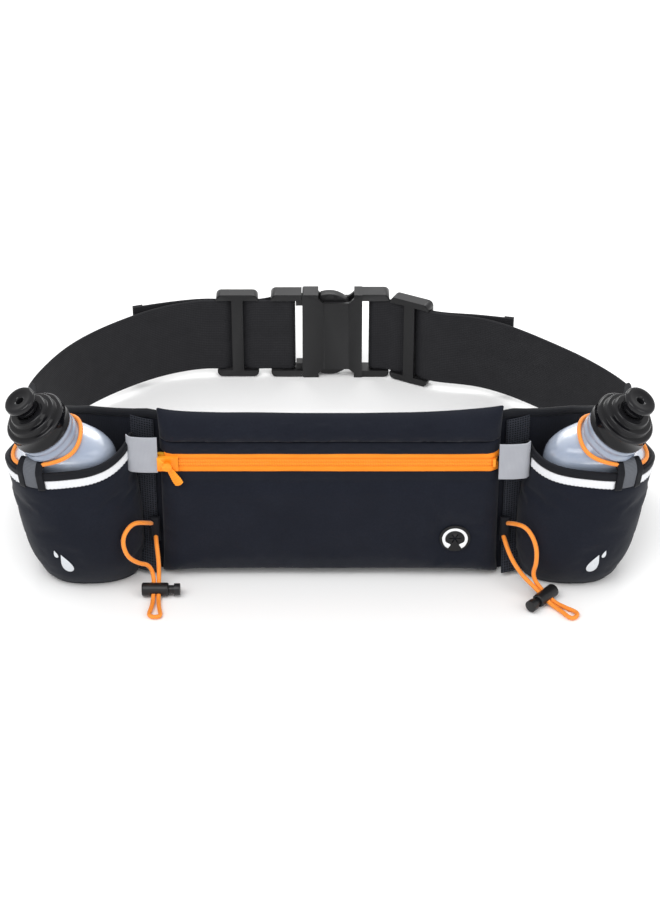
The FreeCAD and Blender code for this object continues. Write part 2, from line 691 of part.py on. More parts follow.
def toggle_pieces(centre, along):
    """A barrel with a cord slot, the plunger that pinches the cord and the spring behind it."""
    barrel = Part.makeCylinder(TOGGLE_R, TOGGLE_L, V(-8.0, 0, 0), V(1, 0, 0))
    barrel = barrel.makeFillet(1.0, barrel.Edges[:1] + barrel.Edges[2:])
    bore = Part.makeCylinder(2.7, 20.0, V(-6.6, 0, 0), V(1, 0, 0))
    cord_slot = box((-3.0, 3.0), (-6, 6), (-1.5, 1.5))
    barrel = barrel.cut([bore, cord_slot])
    rod = Part.makeCylinder(2.4, 14.0, V(-3.6, 0, 0), V(1, 0, 0))
    head = Part.makeCylinder(3.4, 3.4, V(10.0, 0, 0), V(1, 0, 0))
    rod_slot = box((-3.0, 6.2), (-6, 6), (-1.5, 1.5))
    plunger = rod.fuse(head).cut(rod_slot).removeSplitter()
    spring = Part.makeCylinder(2.3, 2.6, V(-6.4, 0, 0), V(1, 0, 0)).cut(
        Part.makeCylinder(1.6, 4.0, V(-7.0, 0, 0), V(1, 0, 0)))
    return [place_toggle(piece, centre, along) for piece in (barrel, plunger, spring)]


def points_of(places):
    return [V(x, y, z) for x, y, z in places]


TOGGLE_LEFT = (V(-96.9, -71.0, 4.2), V(1, 0, 0))
TOGGLE_RIGHT = (V(119.5, -77.0, 4.2), V(-0.66, -0.75, 0))
LEFT_CORD = [
    (-99.4, -50.6, 35.0), (-102.0, -58.0, 40.5), (-109.0, -65.0, 45.5), (-114.8, -69.5, 38.0),
    (-112.5, -71.5, 27.5), (-106.5, -68.0, 20.0), (-100.8, -62.5, 15.0), (-98.3, -63.9, 8.0),
    (-98.3, -75.9, 1.7), (-98.8, -84.0, 1.4), (-100.6, -92.2, 1.4), (-93.0, -92.8, 1.4),
    (-94.7, -84.4, 1.4), (-95.5, -75.9, 1.7), (-95.5, -63.9, 8.0), (-95.7, -60.2, 16.0),
    (-96.6, -57.0, 23.5), (-97.4, -50.6, 26.5),
]
RIGHT_CORD = [
    (99.0, -50.6, 35.0), (102.5, -58.5, 40.5), (109.0, -65.0, 42.0), (114.0, -69.0, 33.5),
    (114.4, -71.6, 23.0), (112.6, -69.4, 14.0), (115.1, -71.3, 7.95), (124.0, -79.2, 1.7),
    (130.6, -84.2, 1.4), (138.0, -89.4, 1.4), (133.2, -95.2, 1.4), (128.0, -87.2, 1.4),
    (122.2, -81.2, 1.7), (113.3, -73.3, 7.95), (108.0, -68.8, 11.0), (102.6, -63.6, 16.5),
    (98.6, -57.5, 23.0), (97.0, -50.6, 26.5),
]


def main():
    os.makedirs("parts", exist_ok=True)
    room = bottle_well()
    lower, upper = pouch_panels()
    grommet, ring, port_hole = earphone_port()
    cap, liner, nozzle = cap_pieces()

    save("belt_backing", belt_backing())
    save("belt_binding", belt_binding())
    save("pouch_back_panel", pouch_back_panel())
    save("pouch_front_lower", lower.cut(port_hole))
    save("pouch_front_upper", upper)
    save("zipper_tape_upper", zip_tape(1))
    save("zipper_tape_lower", zip_tape(-1))
    save("zipper_teeth", zip_teeth())
    save("zip_stop", zip_stop())
    save("zip_slider", zip_slider())
    save("zip_pull", zip_pull())
    save("earphone_grommet", grommet)
    save("earphone_ring", ring)

    sided = {
        "mesh_panel": mesh_panel(),
        "bottle": bottle(),
        "bottle_cap": cap,
        "cap_liner": liner,
        "nozzle": nozzle,
        "bottle_pocket": bottle_pocket(room),
        "pocket_hem": pocket_hem(room),
        "reflective_strip": reflective_strip(room),
        "bottle_cord_tab": bottle_cord_tab(room),
        "bottle_elastic": bottle_elastic(),
        "drop_print": drop_print(),
        "reflective_tab": reflective_tab(),
        "bib_cord_tab": bib_cord_tab(),
    }
    for name, shape in sided.items():
        save(name + "_left", shape)
        save(name + "_right", mirrored(shape))

    save("strap_left", strap_left())
    save("strap_right", strap_right())
    save("adjuster_left", adjuster(*LEFT_GLIDE))
    save("adjuster_right", adjuster(*RIGHT_GLIDE))
    prong = buckle_prong_upper()
    save("buckle_male", buckle_male())
    save("buckle_prong_upper", prong)
    save("buckle_prong_lower", prong.mirror(V(0, 0, BUCKLE_H / 2), V(0, 0, 1)))
    save("buckle_female", buckle_female())
    for side, toggle, route in (("_left", TOGGLE_LEFT, LEFT_CORD), ("_right", TOGGLE_RIGHT, RIGHT_CORD)):
        barrel, plunger, spring = toggle_pieces(*toggle)
        save("toggle_barrel" + side, barrel)
        save("toggle_plunger" + side, plunger)
        save("toggle_spring" + side, spring)
        save("bib_cord" + side, cord_tube("bib_cord" + side, points_of(route)))


main()
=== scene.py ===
"""Looks of the running waist pack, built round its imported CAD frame.

Scene units are metres. The sizes below are in millimetres from the pouch's own middle, as in the CAD source;
at() moves them to the frame. The left side is built, and the right side is its mirror image.
"""
import bmesh
import bpy
import math
import numpy as np
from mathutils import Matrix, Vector, noise
from mathutils.bvhtree import BVHTree


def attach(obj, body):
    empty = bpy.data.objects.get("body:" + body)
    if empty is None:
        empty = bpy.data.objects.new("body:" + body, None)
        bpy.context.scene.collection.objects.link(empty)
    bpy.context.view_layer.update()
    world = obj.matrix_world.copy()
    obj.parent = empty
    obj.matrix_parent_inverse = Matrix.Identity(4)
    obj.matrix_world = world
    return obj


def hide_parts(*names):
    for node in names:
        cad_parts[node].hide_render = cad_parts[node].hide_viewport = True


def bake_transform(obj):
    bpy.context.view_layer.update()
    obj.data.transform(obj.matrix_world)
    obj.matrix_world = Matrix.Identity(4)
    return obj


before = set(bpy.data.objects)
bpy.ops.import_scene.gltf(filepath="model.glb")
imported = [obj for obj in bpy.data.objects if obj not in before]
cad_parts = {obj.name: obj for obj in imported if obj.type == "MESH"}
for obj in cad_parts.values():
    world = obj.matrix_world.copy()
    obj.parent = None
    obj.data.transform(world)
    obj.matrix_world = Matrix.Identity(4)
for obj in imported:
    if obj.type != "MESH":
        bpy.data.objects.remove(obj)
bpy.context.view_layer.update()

MM = 0.001
CENTRE_Y = 46.754          # the CAD source's front-to-back middle, which its export moves to zero

# Camera
AIM = (0, 0, 50)
AIM_DISTANCE = 1500
ELEVATION = 34.0
LENS = 105.24

# Belt
BELT_Y = -43.0             # wearer's face of the belt in front
BELT_T = 3.0
WING = [(94, -43), (106, -38.5), (119, -30), (135, -17), (150, -2), (162, 15), (169.5, 34), (173, 54)]
TOP_X = [0, 86, 94, 101, 112, 126, 135, 150, 163, 178, 190]
TOP_Z = [104, 104.4, 106, 106, 102.2, 96.5, 92.5, 83, 72, 58, 56]

# Webbing
WEB_T, WEB_W, WEB_LOW = 1.3, 50.0, 5.0
BACK_Y = 158.0
NEAR_LAYER, FAR_LAYER = 0.65, 2.35
LEFT_GLIDE = ((-57.6, BACK_Y), (-1.0, 0.0))
RIGHT_GLIDE = ((49.4, 150.4), (-math.cos(math.radians(27)), math.sin(math.radians(27))))

# Pouch
POUCH_HALF = 93.5
POUCH_FRONT, POUCH_BACK = -56.0, -47.0
ZIP_Z = 78.8
CHANNEL_Z, BROW_Z = 66.2, 92.6
CORNER_ROLL = 7.0
PORT = (69.6, 28.7)

# Pocket: plan outlines at four heights, and the rim's two slopes
POCKET_LEVELS = [0.0, 12.0, 50.0, 100.0]
POCKET_OUTLINES = [
    [(-108, -38), (-110, -50), (-120, -57.5), (-137, -60), (-151, -57), (-160, -45), (-161, -28),
     (-155, -8), (-145, 4), (-125, -12)],
    [(-105.5, -38), (-106.5, -52), (-118, -64), (-136, -68), (-154, -64), (-165, -50), (-166, -30),
     (-160, -6), (-148, 6), (-125, -12)],
    [(-106, -38), (-107.5, -56), (-119, -68), (-139, -71.5), (-161, -67), (-173, -53), (-174, -33),
     (-168, -3), (-155, 14), (-125, -12)],
    [(-109, -38), (-110.5, -57), (-121, -70), (-143, -75), (-167, -71), (-181, -58), (-182, -36),
     (-176, -2), (-160, 20), (-125, -12)],
]
RIM_FRONT = ((-148.0, -68.0, 81.8), (-0.14, -0.25, 0.958))
POCKET_FLARE = {"left": 2.6, "right": -2.4}
BINDING_H = 5.2
STRIP_TOP, STRIP_H = 5.0, 4.9          # the reflective strip, measured down from the rim
RIM_REAR = ((-179.0, -45.0, 79.0), (-0.143, 0.336, 0.931))

# Bottle
NECK_AXIS = Vector((-0.42, -0.26, 0.87)).normalized()
BODY_AXIS = Vector((-0.20, -0.05, 0.978)).normalized()
WIDE_HINT = Vector((-0.95, 0.235, -0.20))
SHOULDER = Vector((-146.0, -48.5, 81.0))
BODY_LENGTH = 67.0
NECK_RISE = 23.0

# Bib cords: the control points of their lines
CORD_D = 2.5
CORDS = {
    "left": [
        (-99.4, -50.6, 35.0), (-102.0, -58.0, 40.5), (-109.0, -65.0, 45.5), (-114.8, -69.5, 38.0),
        (-112.5, -71.5, 27.5), (-106.5, -68.0, 20.0), (-100.8, -62.5, 15.0), (-98.3, -63.9, 8.0),
        (-98.3, -75.9, 1.7), (-98.8, -84.0, 1.4), (-100.6, -92.2, 1.4), (-93.0, -92.8, 1.4),
        (-94.7, -84.4, 1.4), (-95.5, -75.9, 1.7), (-95.5, -63.9, 8.0), (-95.7, -60.2, 16.0),
        (-96.6, -57.0, 23.5), (-97.4, -50.6, 26.5),
    ],
    "right": [
        (99.0, -50.6, 35.0), (102.5, -58.5, 40.5), (109.0, -65.0, 42.0), (114.0, -69.0, 33.5),
        (114.4, -71.6, 23.0), (112.6, -69.4, 14.0), (115.1, -71.3, 7.95), (124.0, -79.2, 1.7),
        (130.6, -84.2, 1.4), (138.0, -89.4, 1.4), (133.2, -95.2, 1.4), (128.0, -87.2, 1.4),
        (122.2, -81.2, 1.7), (113.3, -73.3, 7.95), (108.0, -68.8, 11.0), (102.6, -63.6, 16.5),
        (98.6, -57.5, 23.0), (97.0, -50.6, 26.5),
    ],
}
SMALL_FACE = 0.000012      # square metres; larger flat faces keep a flat shade
PULL_TILT = -62            # degrees from the zip's line
TAB_W, TAB_H = 16.9, 23.0
TAB_SHIFT = {"left": (0.6, 5.0), "right": (2.4, 0.6)}     # inwards and upwards
ANCHOR_X, ANCHOR_Z = -100.6, 22.5
ANCHOR_W, ANCHOR_H = 5.8, 16.0
MESH_H = 98.0
SIDES = ("left", "right")


def at(x, y, z):
    """A place in the frame, in metres, from millimetres round the pouch's middle."""
    return Vector((x, y - CENTRE_Y, z)) * MM


def add_object(name, data):
    """An object in the scene, holding a mesh, curve, camera or light."""
    made = bpy.data.objects.new(name, data)
    bpy.context.scene.collection.objects.link(made)
    return made


# Camera, light and floor

def camera():
    lens = bpy.data.cameras.new("photo_camera")
    lens.lens = LENS
    lens.sensor_width = 36.0
    lens.clip_start, lens.clip_end = 0.05, 20.0
    view = add_object("photo_camera", lens)
    rise = math.radians(ELEVATION)
    view.location = at(AIM[0], AIM[1] - AIM_DISTANCE * math.cos(rise), AIM[2] + AIM_DISTANCE * math.sin(rise))
    view.rotation_euler = (math.radians(90) - rise, 0, 0)
    bpy.context.scene.camera = view


def area_light(name, place, aim, size, power):
    light = bpy.data.lights.new(name, "AREA")
    light.shape = "RECTANGLE"
    light.size, light.size_y = size
    light.energy = power
    lamp = add_object(name, light)
    lamp.location = place
    lamp.rotation_euler = (Vector(aim) - Vector(place)).to_track_quat("-Z", "Y").to_euler()


def studio():
    """A pale floor, an even bright surround and three large soft lights."""
    world = bpy.data.worlds.new("studio")
    world.use_nodes = True
    world.node_tree.nodes["Background"].inputs["Color"].default_value = (1, 1, 1, 1)
    world.node_tree.nodes["Background"].inputs["Strength"].default_value = 0.95
    bpy.context.scene.world = world
    bpy.context.scene.view_settings.view_transform = "Standard"
    area_light("key", (-0.5, -0.9, 1.5), (0, 0, 0.05), (1.2, 0.8), 13)
    area_light("fill", (1.1, -0.9, 0.9), (0, 0, 0.05), (0.9, 0.9), 5)
    area_light("back", (0.1, 1.2, 1.3), (0, 0, 0.05), (1.4, 0.6), 13)
    floor = box_piece("floor", (-6, -6, -0.02), (6, 6, -0.0002))
    floor.data.materials.append(plain("floor_white", (0.93, 0.93, 0.93), 0.9))


def box_piece(name, low, high):
    corners = [(x, y, z) for x in (low[0], high[0]) for y in (low[1], high[1]) for z in (low[2], high[2])]
    faces = [(0, 1, 3, 2), (4, 6, 7, 5), (0, 4, 5, 1), (2, 3, 7, 6), (0, 2, 6, 4), (1, 5, 7, 3)]
    mesh = bpy.data.meshes.new(name)
    mesh.from_pydata(corners, [], faces)
    return add_object(name, mesh)


# Material helpers

def plain(name, colour, roughness, **inputs):
    material = bpy.data.materials.new(name)
    material.use_nodes = True
    shader = material.node_tree.nodes["Principled BSDF"]
    shader.inputs["Base Color"].default_value = (*colour, 1)
    shader.inputs["Roughness"].default_value = roughness
    for socket, value in inputs.items():
        shader.inputs[socket.replace("_", " ")].default_value = value
    return material


class Nodes:
    """Short-hand for building one material's nodes."""

    def __init__(self, material):
        self.tree = material.node_tree
        self.shader = self.tree.nodes["Principled BSDF"]

    def add(self, kind, inputs=None, **settings):
        made = self.tree.nodes.new("ShaderNode" + kind)
        for key, value in settings.items():
            setattr(made, key, value)
        for key, value in (inputs or {}).items():
            if isinstance(value, bpy.types.NodeSocket):
                self.tree.links.new(value, made.inputs[key])
            else:
                made.inputs[key].default_value = value
        return made

    def math(self, operation, a, b=0.5):
        return self.add("Math", {0: a, 1: b}, operation=operation).outputs[0]

    def coordinates(self, kind, scale):
        """Object or UV coordinates, both in metres, times a scale on each axis."""
        source = self.add("TexCoord").outputs[kind]
        return self.add("Mapping", {"Vector": source, "Scale": scale}).outputs[0]

    def mix(self, factor, first, second):
        blend = self.add("Mix", data_type="RGBA")
        for socket, value in ((blend.inputs[0], factor), (blend.inputs[6], first), (blend.inputs[7], second)):
            if isinstance(value, bpy.types.NodeSocket):
                self.tree.links.new(value, socket)
            else:
                socket.default_value = value
        return blend.outputs[2]

    def colour(self, value):
        self.tree.links.new(value, self.shader.inputs["Base Color"])

    def roughness(self, value):
        self.tree.links.new(value, self.shader.inputs["Roughness"])

    def bump(self, height, distance, strength=1.0, below=None):
        inputs = {"Height": height, "Distance": distance, "Strength": strength}
        if below is not None:
            inputs["Normal"] = below
        made = self.add("Bump", inputs).outputs[0]
        self.tree.links.new(made, self.shader.inputs["Normal"])
        return made


def ribs(nodes, vector, axis):
    """Soft parallel ridges, one to each unit of the coordinates."""
    wave = nodes.add("TexWave", {"Vector": vector, "Scale": 2 * math.pi / 20},
                     wave_type="BANDS", bands_direction=axis, wave_profile="SIN")
    return wave.outputs["Fac"]


def cloth(name, colour, light, pitch=0.6, roughness=0.72, sheen=0.06, depth=0.06):
    """Fine woven or knitted cloth: a grid of threads, slight shade changes and a soft sheen."""
    material = plain(name, colour, roughness, Sheen_Weight=sheen, Sheen_Roughness=0.45,
                     Specular_IOR_Level=0.12)
    nodes = Nodes(material)
    scale = 1 / (pitch * MM)
    threads = nodes.coordinates("Object", (scale, scale, scale))
    cells = nodes.add("TexVoronoi", {"Vector": threads, "Scale": 1.0, "Randomness": 0.35}).outputs["Distance"]
    place = nodes.coordinates("Object", (1, 1, 1))
    broad = nodes.add("TexNoise", {"Vector": place, "Scale": 55.0, "Detail": 4.0})
    fine = nodes.add("TexNoise", {"Vector": place, "Scale": 900.0, "Detail": 2.0})
    shade = nodes.math("MULTIPLY", broad.outputs["Fac"], fine.outputs["Fac"])
    nodes.colour(nodes.mix(shade, (*colour, 1), (*light, 1)))
    soft = nodes.bump(broad.outputs["Fac"], 0.0012, 0.35)
    nodes.bump(cells, depth * MM, 0.6, soft)
    return material


def webbing_cloth(name, colour, light, rib=1.25, cross=1.1, depth=0.16, roughness=0.62):
    """Flat webbing: rows of ridges along its length, crossed by finer ones. Needs UVs in metres."""
    material = plain(name, colour, roughness, Sheen_Weight=0.04, Sheen_Roughness=0.4, Specular_IOR_Level=0.14)
    nodes = Nodes(material)
    across = nodes.coordinates("UV", (1 / (cross * MM), 1 / (rib * MM), 1))
    lengthwise = ribs(nodes, across, "Y")
    crosswise = ribs(nodes, across, "X")
    weave = nodes.math("MULTIPLY", lengthwise, nodes.math("ADD", crosswise, 0.6))
    whole = nodes.coordinates("UV", (1, 1, 1))
    broad = nodes.add("TexNoise", {"Vector": whole, "Scale": 90.0, "Detail": 5.0})
    shade = nodes.math("MULTIPLY", weave, broad.outputs["Fac"])
    nodes.colour(nodes.mix(shade, (*colour, 1), (*light, 1)))
    soft = nodes.bump(broad.outputs["Fac"], 0.0006, 0.3)
    nodes.bump(weave, depth * MM, 0.8, soft)
    return material


def moulded(name, colour, roughness=0.42, grain=0.35, shine=0.22):
    """Moulded plastic: a fine spark-eroded grain, edges rubbed a little lighter."""
    material = plain(name, colour, roughness, Specular_IOR_Level=shine)
    nodes = Nodes(material)
    place = nodes.coordinates("Object", (1, 1, 1))
    speckle = nodes.add("TexNoise", {"Vector": place, "Scale": 2600.0, "Detail": 2.0}).outputs["Fac"]
    cloud = nodes.add("TexNoise", {"Vector": place, "Scale": 70.0, "Detail": 4.0}).outputs["Fac"]
    worn = nodes.add("NewGeometry").outputs["Pointiness"]
    edge = nodes.add("MapRange", {"Value": worn, "From Min": 0.5, "From Max": 0.62, "To Min": 0.0,
                                  "To Max": 0.5})
    light = tuple(min(1.0, c * 2.6 + 0.03) for c in colour)
    nodes.colour(nodes.mix(edge.outputs[0], (*colour, 1), (*light, 1)))
    rough = nodes.add("MapRange", {"Value": cloud, "To Min": roughness * 0.8, "To Max": roughness * 1.3})
    nodes.roughness(rough.outputs[0])
    nodes.bump(speckle, 0.00004, grain)
    return material


# Mesh helpers: points are arrays in millimetres until piece() takes them to the frame

def smooth(points, count, closed=False):
    """Evenly spaced points on the natural cubic curve through some points."""
    knots = np.array(points, float)
    if closed:
        wrap = 4
        knots = np.concatenate([knots[-wrap:], knots, knots[:wrap + 1]])
    steps = np.linalg.norm(np.diff(knots, axis=0), axis=1)
    t = np.concatenate([[0], np.cumsum(steps)])
    n = len(t)
    system = np.eye(n)
    right = np.zeros_like(knots)
    for i in range(1, n - 1):
        before, after = t[i] - t[i - 1], t[i + 1] - t[i]
        system[i, i - 1:i + 2] = before, 2 * (before + after), after
        right[i] = 6 * ((knots[i + 1] - knots[i]) / after - (knots[i] - knots[i - 1]) / before)
    bend = np.linalg.solve(system, right)
    first, last = (t[4], t[-5]) if closed else (t[0], t[-1])
    dense = np.linspace(first, last, 12 * n)
    curve = cubic_at(dense, t, knots, bend)
    return resample(curve, count, closed)


def cubic_at(places, t, knots, bend):
    index = np.clip(np.searchsorted(t, places, side="right") - 1, 0, len(t) - 2)
    width = (t[index + 1] - t[index])[:, None]
    a = (t[index + 1] - places)[:, None] / width
    b = 1 - a
    sag = ((a ** 3 - a) * bend[index] + (b ** 3 - b) * bend[index + 1]) * width ** 2 / 6
    return a * knots[index] + b * knots[index + 1] + sag


def lengths(path):
    return np.concatenate([[0], np.cumsum(np.linalg.norm(np.diff(path, axis=0), axis=1))])


def resample(path, count, closed=False):
    """Evenly spaced points along a path; a closed one leaves out its repeated end."""
    run = lengths(path)
    places = np.linspace(0, run[-1], count + 1)[:-1] if closed else np.linspace(0, run[-1], count)
    return sample(run, path, places)


def sample(run, values, places):
    """Values known at the distances in run, read at other distances."""
    return np.stack([np.interp(places, run, values[:, k]) for k in range(values.shape[1])], axis=1)


def plan_normals(path):
    """Level directions across a plan path, to the right of its way."""
    way = np.gradient(path, axis=0)
    across = np.stack([way[:, 1], -way[:, 0]], axis=1)
    return across / np.linalg.norm(across, axis=1)[:, None]


def spread(length, step, rim):
    """Distances along a length: even steps, closer together where the edge rolls over."""
    roll = [rim * (1 - math.cos(math.radians(a))) for a in (0, 18, 38, 62, 90)]
    count = max(2, round((length - 2 * rim) / step))
    middle = [rim + (length - 2 * rim) * i / count for i in range(1, count)]
    return np.array(roll + middle + [length - r for r in reversed(roll)])


def rolled(distance, rim):
    """The share of full thickness at a distance from a rounded edge."""
    inside = np.clip(distance / rim, 0, 1)
    return np.sqrt(np.maximum(1 - (1 - inside) ** 2, 0.004))


def surface_normals(grid, ring=False):
    along_u = (np.roll(grid, -1, axis=0) - np.roll(grid, 1, axis=0)) if ring else np.gradient(grid, axis=0)
    across = np.cross(along_u, np.gradient(grid, axis=1))
    size = np.linalg.norm(across, axis=2)[..., None]
    return across / np.maximum(size, 1e-9)


def grid_lengths(grid):
    """Each point's distance along both directions of a grid, measured on the surface."""
    u = np.cumsum(np.linalg.norm(np.diff(grid, axis=0, prepend=grid[:1]), axis=2), axis=0)
    v = np.cumsum(np.linalg.norm(np.diff(grid, axis=1, prepend=grid[:, :1]), axis=2), axis=1)
    return np.stack([u, v], axis=2)


def piece(name, mesh_parts, material, body, flip=False, replaces=()):
    """A mesh of (points, faces, uvs) in millimetres, in its place in the frame, riding on a body.

    flip makes the mirror image.
    """
    points, faces, uvs = mesh_parts
    if flip:
        points = points * [-1, 1, 1]
        faces = [tuple(reversed(face)) for face in faces]
    points = (points - [0, CENTRE_Y, 0]) * MM
    mesh = bpy.data.meshes.new(name)
    mesh.from_pydata(points.tolist(), [], faces)
    layer = mesh.uv_layers.new(name="metres")
    order = [index for face in faces for index in face]
    layer.data.foreach_set("uv", (uvs[order] * MM).ravel())
    mesh.polygons.foreach_set("use_smooth", [True] * len(mesh.polygons))
    mesh.materials.append(MATERIALS[material])
    made = add_object(name, mesh)
    if body is not None:
        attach(made, body)
    if replaces:
        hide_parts(*replaces)
    return made


def quads(nu, nv, loop_u=False, loop_v=False):
    """The four corners of each cell of a grid of points, which may close on itself either way."""
    for i in range(nu if loop_u else nu - 1):
        for j in range(nv if loop_v else nv - 1):
            here, ahead, beside = i * nv, (i + 1) % nu * nv, (j + 1) % nv
            yield here + j, here + beside, ahead + beside, ahead + j


def upright_grid(x, y, z):
    """Points across x and up z, each at its own y."""
    return np.stack(np.broadcast_arrays(x[:, None], y, z[None, :]), axis=2)


def slab(middle, half, ring=False):
    """A closed solid round a grid of middle points, thinner at its border. half may be two arrays."""
    front_half, back_half = half if isinstance(half, tuple) else (half, half)
    normal = surface_normals(middle, ring)
    front = middle + normal * front_half[..., None]
    back = middle - normal * back_half[..., None]
    nu, nv = middle.shape[:2]
    points = np.concatenate([front.reshape(-1, 3), back.reshape(-1, 3)])
    place = grid_lengths(middle).reshape(-1, 2)
    uvs = np.concatenate([place, place])
    total = nu * nv
    faces = []
    for a, b, c, d in quads(nu, nv, loop_u=ring):
        faces += [(a, d, c, b), (total + a, total + b, total + c, total + d)]
    for i in range(nu if ring else nu - 1):
        for j, order in ((0, 1), (nv - 1, -1)):
            a, b = i * nv + j, (i + 1) % nu * nv + j
            faces.append((a, total + a, total + b, b)[::order])
    if not ring:
        for j in range(nv - 1):
            for i, order in ((0, -1), (nu - 1, 1)):
                a, b = i * nv + j, i * nv + j + 1
                faces.append((a, total + a, total + b, b)[::order])
    return points, faces, uvs


def upright_band(path, low, high, thickness, step=3.0, rim=None):
    """The slab of a strip that stands on its edge along a plan path."""
    rim = thickness / 2 if rim is None else rim
    run = lengths(path)[-1]
    u = spread(run, step, rim)
    v = spread(high - low, step, rim)
    line = sample(lengths(path), path, u)
    middle = np.zeros((len(u), len(v), 3))
    middle[..., :2] = line[:, None, :]
    middle[..., 2] = low + v[None, :]
    edge = np.minimum(np.minimum(u, run - u)[:, None], np.minimum(v, high - low - v)[None, :])
    return slab(middle, thickness / 2 * rolled(edge, rim))


def join_parts(parts):
    """Several (points, faces, uvs) as one."""
    points, faces, uvs = [], [], []
    start = 0
    for some_points, some_faces, some_uvs in parts:
        points.append(some_points)
        uvs.append(some_uvs)
        faces += [tuple(index + start for index in face) for face in some_faces]
        start += len(some_points)
    return np.concatenate(points), faces, np.concatenate(uvs)


def tube(path, radius, sides=10, squash=1.0, flat=(0, 0, 1)):
    """A round or flattened rod along a path, closed at both ends."""
    way = np.gradient(path, axis=0)
    way /= np.linalg.norm(way, axis=1)[:, None]
    first = np.cross(way, np.array(flat, float))
    first /= np.linalg.norm(first, axis=1)[:, None]
    second = np.cross(first, way)
    turn = np.linspace(0, 2 * math.pi, sides, endpoint=False)
    radius = np.broadcast_to(radius, len(path))
    rings = (path[:, None, :] + first[:, None, :] * (np.cos(turn)[None, :, None] * radius[:, None, None])
             + second[:, None, :] * (np.sin(turn)[None, :, None] * (radius * squash)[:, None, None]))
    points = rings.reshape(-1, 3)
    faces = [(a, d, c, b) for a, b, c, d in quads(len(path), sides, loop_v=True)]
    faces.append(tuple(range(sides)))
    last = (len(path) - 1) * sides
    faces.append(tuple(reversed(range(last, last + sides))))
    run = lengths(path)
    uvs = np.stack([np.repeat(run, sides), np.tile(turn, len(path))], axis=1)
    return points, faces, uvs


def stitch_row(path, normals, length=2.2, gap=1.0, radius=0.22, lift=0.05):
    """Raised thread stitches that follow a path on a surface."""
    run = lengths(path)
    arch = np.array([-0.9, 0.4, 0.8, 0.4, -0.9])[:, None] * radius
    taper = radius * np.array([0.7, 1, 1, 1, 0.7])
    parts = []
    for place in np.arange(gap, run[-1] - length, length + gap):
        spots = np.linspace(place, place + length, len(arch))
        centre = sample(run, path, spots) + sample(run, normals, spots) * (arch + lift)
        parts.append(tube(centre, taper, 6))
    return join_parts(parts)


# Belt

def belt_line():
    """The wearer's face of the belt in plan, from left wing to right, and its outward directions."""
    right = np.array(WING, float)
    left = right[::-1] * [-1, 1]
    flat = [(x, BELT_Y) for x in (-60, -20, 20, 60)]
    line = smooth(np.concatenate([left, flat, right]), 240)
    return line, plan_normals(line)


def belt_top(x):
    return np.interp(np.abs(x), TOP_X, TOP_Z)


def belt_grid(offset, low, high, step=4.0, rim=1.5, span=(0.0, 1.0)):
    """Middle points of a layer of the belt at an offset, between two height functions."""
    line, out = belt_line()
    run = lengths(line)
    start, end = span[0] * run[-1], span[1] * run[-1]
    u = start + spread(end - start, step, rim)
    plan = sample(run, line, u) + sample(run, out, u) * offset
    bottom, top = low(plan[:, 0]), high(plan[:, 0])
    v = spread(1000.0, 1000.0 * step / 100.0, 1000.0 * rim / 100.0) / 1000.0
    grid = np.zeros((len(u), len(v), 3))
    grid[..., :2] = plan[:, None, :]
    grid[..., 2] = bottom[:, None] + (top - bottom)[:, None] * v[None, :]
    edge = np.minimum(np.minimum(u - start, end - u)[:, None],
                      np.minimum(v[None, :], 1 - v[None, :]) * (top - bottom)[:, None])
    return grid, edge


def belt():
    """The padded belt with its folded binding."""
    grid, edge = belt_grid(BELT_T / 2, lambda x: 0 * x, lambda x: belt_top(x) - 3.0)
    puff = np.clip(edge / 9.0, 0, 1) ** 0.5
    thick = rolled(edge, 1.5) * (BELT_T / 2 - 0.5)
    padding = piece("belt_padding", slab(grid, (thick + 0.15 * puff, thick + 1.1 * puff * (edge > 2))),
                    "belt_inner", "belt", replaces=["belt_backing"])

    grid, edge = belt_grid(BELT_T / 2, lambda x: belt_top(x) - 5.0, belt_top, rim=2.1)
    piece("belt_edge_binding", slab(grid, rolled(edge, 2.1) * 2.05), "binding", "belt",
          replaces=["belt_binding"])


# Webbing

def woven_path(glide, first_side):
    """One layer through an adjuster: under its end bars, over its middle bar."""
    centre, along_it = np.array(glide[0]), np.array(glide[1])
    across = np.array([along_it[1], -along_it[0]])
    half = [(3.3, 2.1), (6.4, 1.0), (9.4, 0.0), (14.5, 0.0)]
    rise = [(-s, t) for s, t in reversed(half)] + half
    return [tuple(centre + along_it * s + across * (t + first_side)) for s, t in rise]


def wing_seam():
    """The webbing on the outside of the left wing, from the wing's end inwards, where it is sewn on."""
    wing = smooth(WING, 60)
    out = plan_normals(wing)
    reach = BELT_T + 0.6 + 0.2 + WEB_T / 2
    places = [59, 55, 52]
    return [(-(wing[i] + out[i] * reach)[0], (wing[i] + out[i] * reach)[1]) for i in places]


def left_strap_path():
    """From the folded tail, through the adjuster, round the buckle's bar and back to the left wing."""
    tail = [(-121.5, 150.0), (-105.0, 155.0), (-88.0, 159.0)]
    wrap = [(-36.0, 162.8), (-26.5, 164.3), (-23.2, 163.6), (-22.1, 161.5), (-23.2, 159.4), (-26.5, 158.65),
            (-36.0, 158.65)]
    side = [(-88.0, 156.4), (-108.0, 148.2), (-126.0, 136.2), (-144.0, 120.5), (-159.0, 102.0),
            (-169.5, 82.0), (-175.5, 66.0)]
    inward = woven_path(LEFT_GLIDE, FAR_LAYER)[::-1]
    outward = woven_path(LEFT_GLIDE, NEAR_LAYER)
    return tail + inward + wrap + outward + side + wing_seam()


